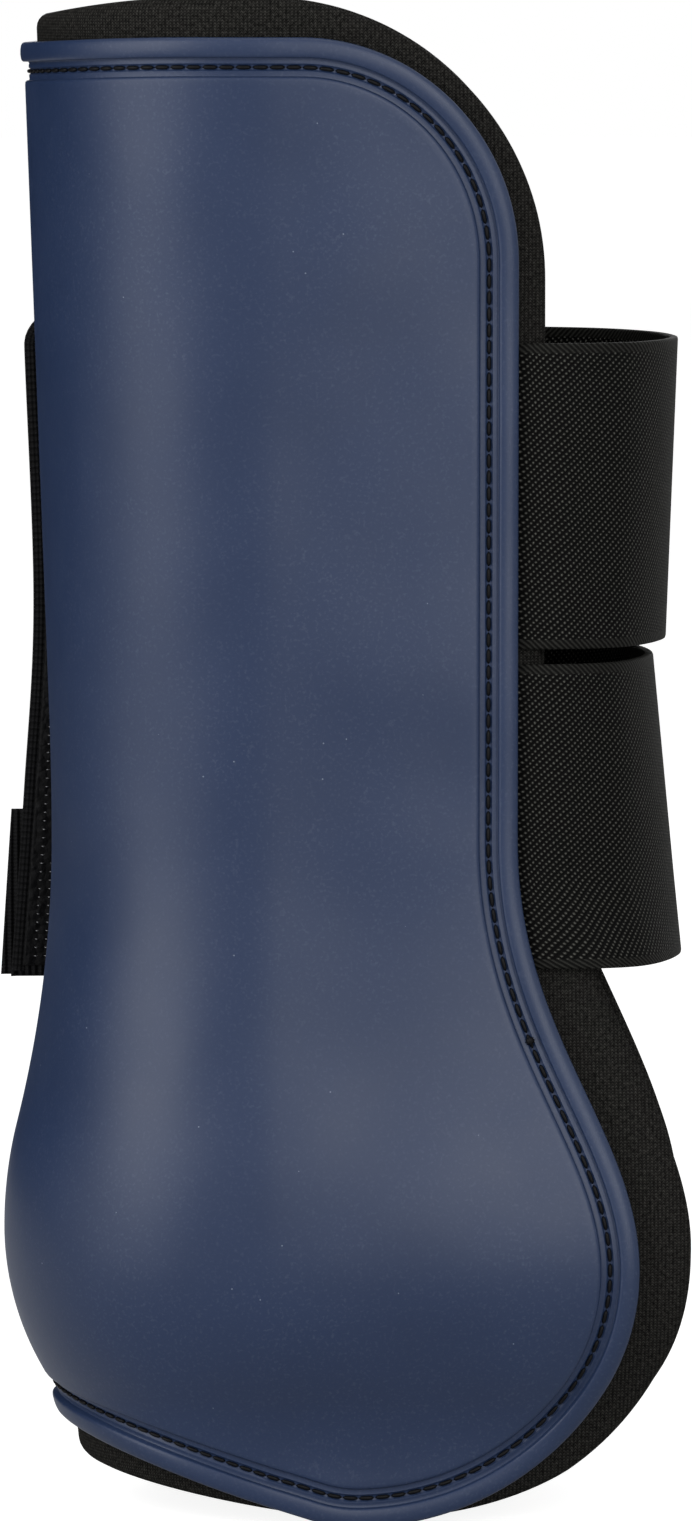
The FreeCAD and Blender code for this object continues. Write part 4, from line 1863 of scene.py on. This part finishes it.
    def build_seams(self) -> None:
        """Make the boxed seams that hold the strap ends on the panel: a rectangle with its diagonals."""
        x1 = self.front - self.seam_front
        x0 = x1 - self.seam_length
        lines = []
        for top in (self.straps_top, self.straps_low + self.strap_width):
            z0, z1 = top - self.strap_width + self.seam_margin, top - self.seam_margin
            corners = ((x0, z0), (x1, z0), (x1, z1), (x0, z1))
            for first, last in ((0, 1), (1, 2), (2, 3), (3, 0), (0, 2), (3, 1)):
                lines.append(np.linspace(corners[first], corners[last], 24))
        ground = self.backing_high + self.strap_thickness
        self.stitch("strap_end_stitches", self.pad_seam, lines, ground, "closure")

    def build_tab(self, place: Placer) -> None:
        """Make the pull tab at the panel's lower back corner, a folded tape sewn on round its edge.

        Args:
            place: Turns side-view coordinates and an offset into points.
        """
        x0, x1, z0, z1 = self.tab_x, self.tab_x + self.tab_width, self.low, self.low + self.tab_height
        corners = [(x0 + self.tab_lean, z1), (x1, z1), (x1, z0), (x0, z0)]
        sheet = self.four_sided(corners, self.tab_cells)
        high = self.backing_high + self.tab_high
        tab_rims = rounded_rims(high, self.backing_high + self.tab_low, self.tape_round)
        tab = sheet.build("pull_tab_tape", tab_rims, place, self.cloths.tape)
        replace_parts(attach(tab, "closure"), "pull_tab")
        self.stitch("tab_stitches", self.tab_seam, [sheet.ring(self.tab_seam_inset)], high, "closure")

    def build(self) -> None:
        """Make the whole fastener."""
        place = self.wrap.side_place(Side.FAR)
        self.build_pad(place)
        self.build_panel(place)
        self.build_hooks(place)
        self.build_seams()
        self.build_tab(place)
        log.info("closure built")


@dataclass(frozen=True)
class Softbox:
    """A rectangular studio light that faces a point. Lengths are in metres."""

    name: str
    place: tuple[float, float, float]
    size: Point
    watts: float

    def build(self, target: Vector) -> None:
        """Hang the light and turn it.

        Args:
            target: The point that it faces.
        """
        lamp = bpy.data.lights.new(self.name, "AREA")
        lamp.shape = "RECTANGLE"
        lamp.size, lamp.size_y = self.size
        lamp.energy = self.watts
        hung = bpy.data.objects.new(self.name, lamp)
        hung.location = self.place
        hung.rotation_euler = (target - Vector(self.place)).to_track_quat("-Z", "Y").to_euler()
        bpy.context.scene.collection.objects.link(hung)


@dataclass(frozen=True)
class Flag:
    """An upright black cloth that keeps the pale backdrop out of the boot's turned-away side."""

    name: str
    start: Point
    end: Point
    height: float

    def build(self) -> None:
        """Hang the cloth between two places on the floor, unseen by the camera."""
        mesh = bpy.data.meshes.new(self.name)
        corners = [(*self.start, 0.0), (*self.end, 0.0), (*self.end, self.height), (*self.start, self.height)]
        mesh.from_pydata(corners, [], [(0, 1, 2, 3)])
        flag = link(self.name, mesh, Finish("black flag cloth", "#050505", 1.0, mirror=0.0).make())
        flag.visible_camera = False


@dataclass
class Studio:
    """Plain floor, white backdrop, soft lights and a long lens at the near side. Lengths are in metres.

    Args:
        centre: Middle of the boot in the camera's frame.
        distance: Distance of the camera from the mid-plane.
        camera_height: Height of the camera.
        frame_height: Height of what the frame shows at the boot.
        sensor: Height of the sensor, in millimetres.
        target: The point that the lights face.
        floor_reach: Half the floor's width.
        floor_colour: Colour of the floor's paper.
        floor_white: How much light of its own the floor shows to the camera.
        floor_mirrored: The same in reflections.
        soft_light: Strength of the surroundings as a light.
        white_light: Strength of the surroundings where they are seen.
        softboxes: The lights.
        flag: The cloth that shades the boot's turned-away side.
    """

    centre: Vector = field(default_factory=lambda: Vector((0.00995, 0.0, 0.1225)))
    distance: float = 1.6
    camera_height: float = 0.255
    frame_height: float = 0.2508
    sensor: float = 36.0
    target: Vector = field(default_factory=lambda: Vector((0.0, 0.0, 0.13)))
    floor_reach: float = 12.0
    floor_colour: str = "#cdcdcc"
    floor_white: float = 0.84
    floor_mirrored: float = 0.2
    soft_light: float = 0.30
    white_light: float = 1.0
    softboxes: tuple[Softbox, ...] = (
        Softbox("left_softbox", place=(-0.86, -0.58, 0.42), size=(0.70, 1.05), watts=8.0),
        Softbox("right_softbox", place=(0.42, -1.04, 0.42), size=(0.32, 1.05), watts=6.6),
        Softbox("top_light", place=(0.0, -0.1, 1.2), size=(0.9, 0.8), watts=1.5),
        Softbox("back_light", place=(0.1, 1.2, 0.6), size=(0.9, 0.8), watts=1.5),
    )
    flag: Flag = Flag("left_flag", start=(-0.92, 0.02), end=(-0.13, 0.80), height=1.1)

    def build(self) -> None:
        """Make the floor, the world, the lights and the camera."""
        self.build_floor()
        self.build_world()
        for softbox in self.softboxes:
            softbox.build(self.target)
        self.flag.build()
        self.build_camera()

    def build_floor(self) -> None:
        """Lay a wide pale floor under the boot that keeps its shadow but shows as white."""
        mesh = bpy.data.meshes.new("studio_floor")
        reach = self.floor_reach
        corners = [(-reach, -reach, 0.0), (reach, -reach, 0.0), (reach, reach, 0.0), (-reach, reach, 0.0)]
        mesh.from_pydata(corners, [], [(0, 1, 2, 3)])
        material = bpy.data.materials.new("white paper sweep")
        material.use_nodes = True
        tree = material.node_tree
        tree.nodes.clear()
        path = add(tree, "LightPath")
        rays = {0: path.outputs["Is Glossy Ray"], 1: path.outputs["Is Transmission Ray"]}
        mirrored = add(tree, "Math", rays, operation="ADD")
        direct = {0: path.outputs["Is Camera Ray"], 1: self.floor_white}
        camera = add(tree, "Math", direct, operation="MULTIPLY")
        shown = {0: mirrored, 1: self.floor_mirrored, 2: camera}
        strength = add(tree, "Math", shown, operation="MULTIPLY_ADD")
        paper = add(tree, "BsdfDiffuse", {"Color": srgb(self.floor_colour)})
        glow = add(tree, "Emission", {"Color": srgb("#ffffff"), "Strength": strength})
        both = add(tree, "AddShader", {0: paper, 1: glow})
        add(tree, "OutputMaterial", {"Surface": both})
        link("studio_floor", mesh, material)

    def build_world(self) -> None:
        """Make the surroundings white where the camera or a reflection sees them, else a soft light."""
        world = bpy.data.worlds.new("studio_white")
        bpy.context.scene.world = world
        world.use_nodes = True
        tree = world.node_tree
        tree.nodes.clear()
        path = add(tree, "LightPath")
        rays = {0: path.outputs["Is Glossy Ray"], 1: path.outputs["Is Transmission Ray"]}
        mirrored = add(tree, "Math", rays, operation="ADD")
        seen = add(tree, "Math", {0: path.outputs["Is Camera Ray"], 1: mirrored}, operation="ADD")
        soft = add(tree, "Background", {"Color": srgb("#ffffff"), "Strength": self.soft_light})
        white = add(tree, "Background", {"Color": srgb("#ffffff"), "Strength": self.white_light})
        mixed = add(tree, "MixShader", {0: seen, 1: soft, 2: white})
        add(tree, "OutputWorld", {"Surface": mixed})

    def build_camera(self) -> None:
        """Set the camera at the near side, a little above the straps, with the boot filling its frame."""
        lens = bpy.data.cameras.new("camera")
        lens.sensor_fit = "VERTICAL"
        lens.sensor_height = self.sensor
        camera = bpy.data.objects.new("camera", lens)
        camera.location = (self.centre.x, -self.distance, self.camera_height)
        look = self.centre - camera.location
        camera.rotation_euler = look.to_track_quat("-Z", "Y").to_euler()
        lens.lens = self.sensor * look.length / self.frame_height
        lens.clip_end = 50.0
        bpy.context.scene.collection.objects.link(camera)
        bpy.context.scene.camera = camera


def main() -> None:
    """Dress the frame piece by piece."""
    logging.basicConfig(level=logging.INFO, format="%(name)s: %(message)s")
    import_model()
    wrap = WrapForm()
    cloths = Cloths()
    Shell(wrap, cloths).build()
    Liner(wrap, cloths).build()
    upper = {"top": 192.6, "reach_top": 64.4, "reach_low": 62.5, "swing_start": 38.2, "swing_end": 45.6}
    lower = {"top": 140.7, "reach_top": 60.4, "reach_low": 65.2, "swing_start": 39.6, "swing_end": 45.6}
    StrapLoop("upper_strap", wrap, cloths, **upper).build()
    StrapLoop("lower_strap", wrap, cloths, **lower).build()
    Closure(wrap, cloths).build()
    Studio().build()
    bpy.context.scene.view_settings.view_transform = "Standard"


if __name__ == "__main__":
    main()
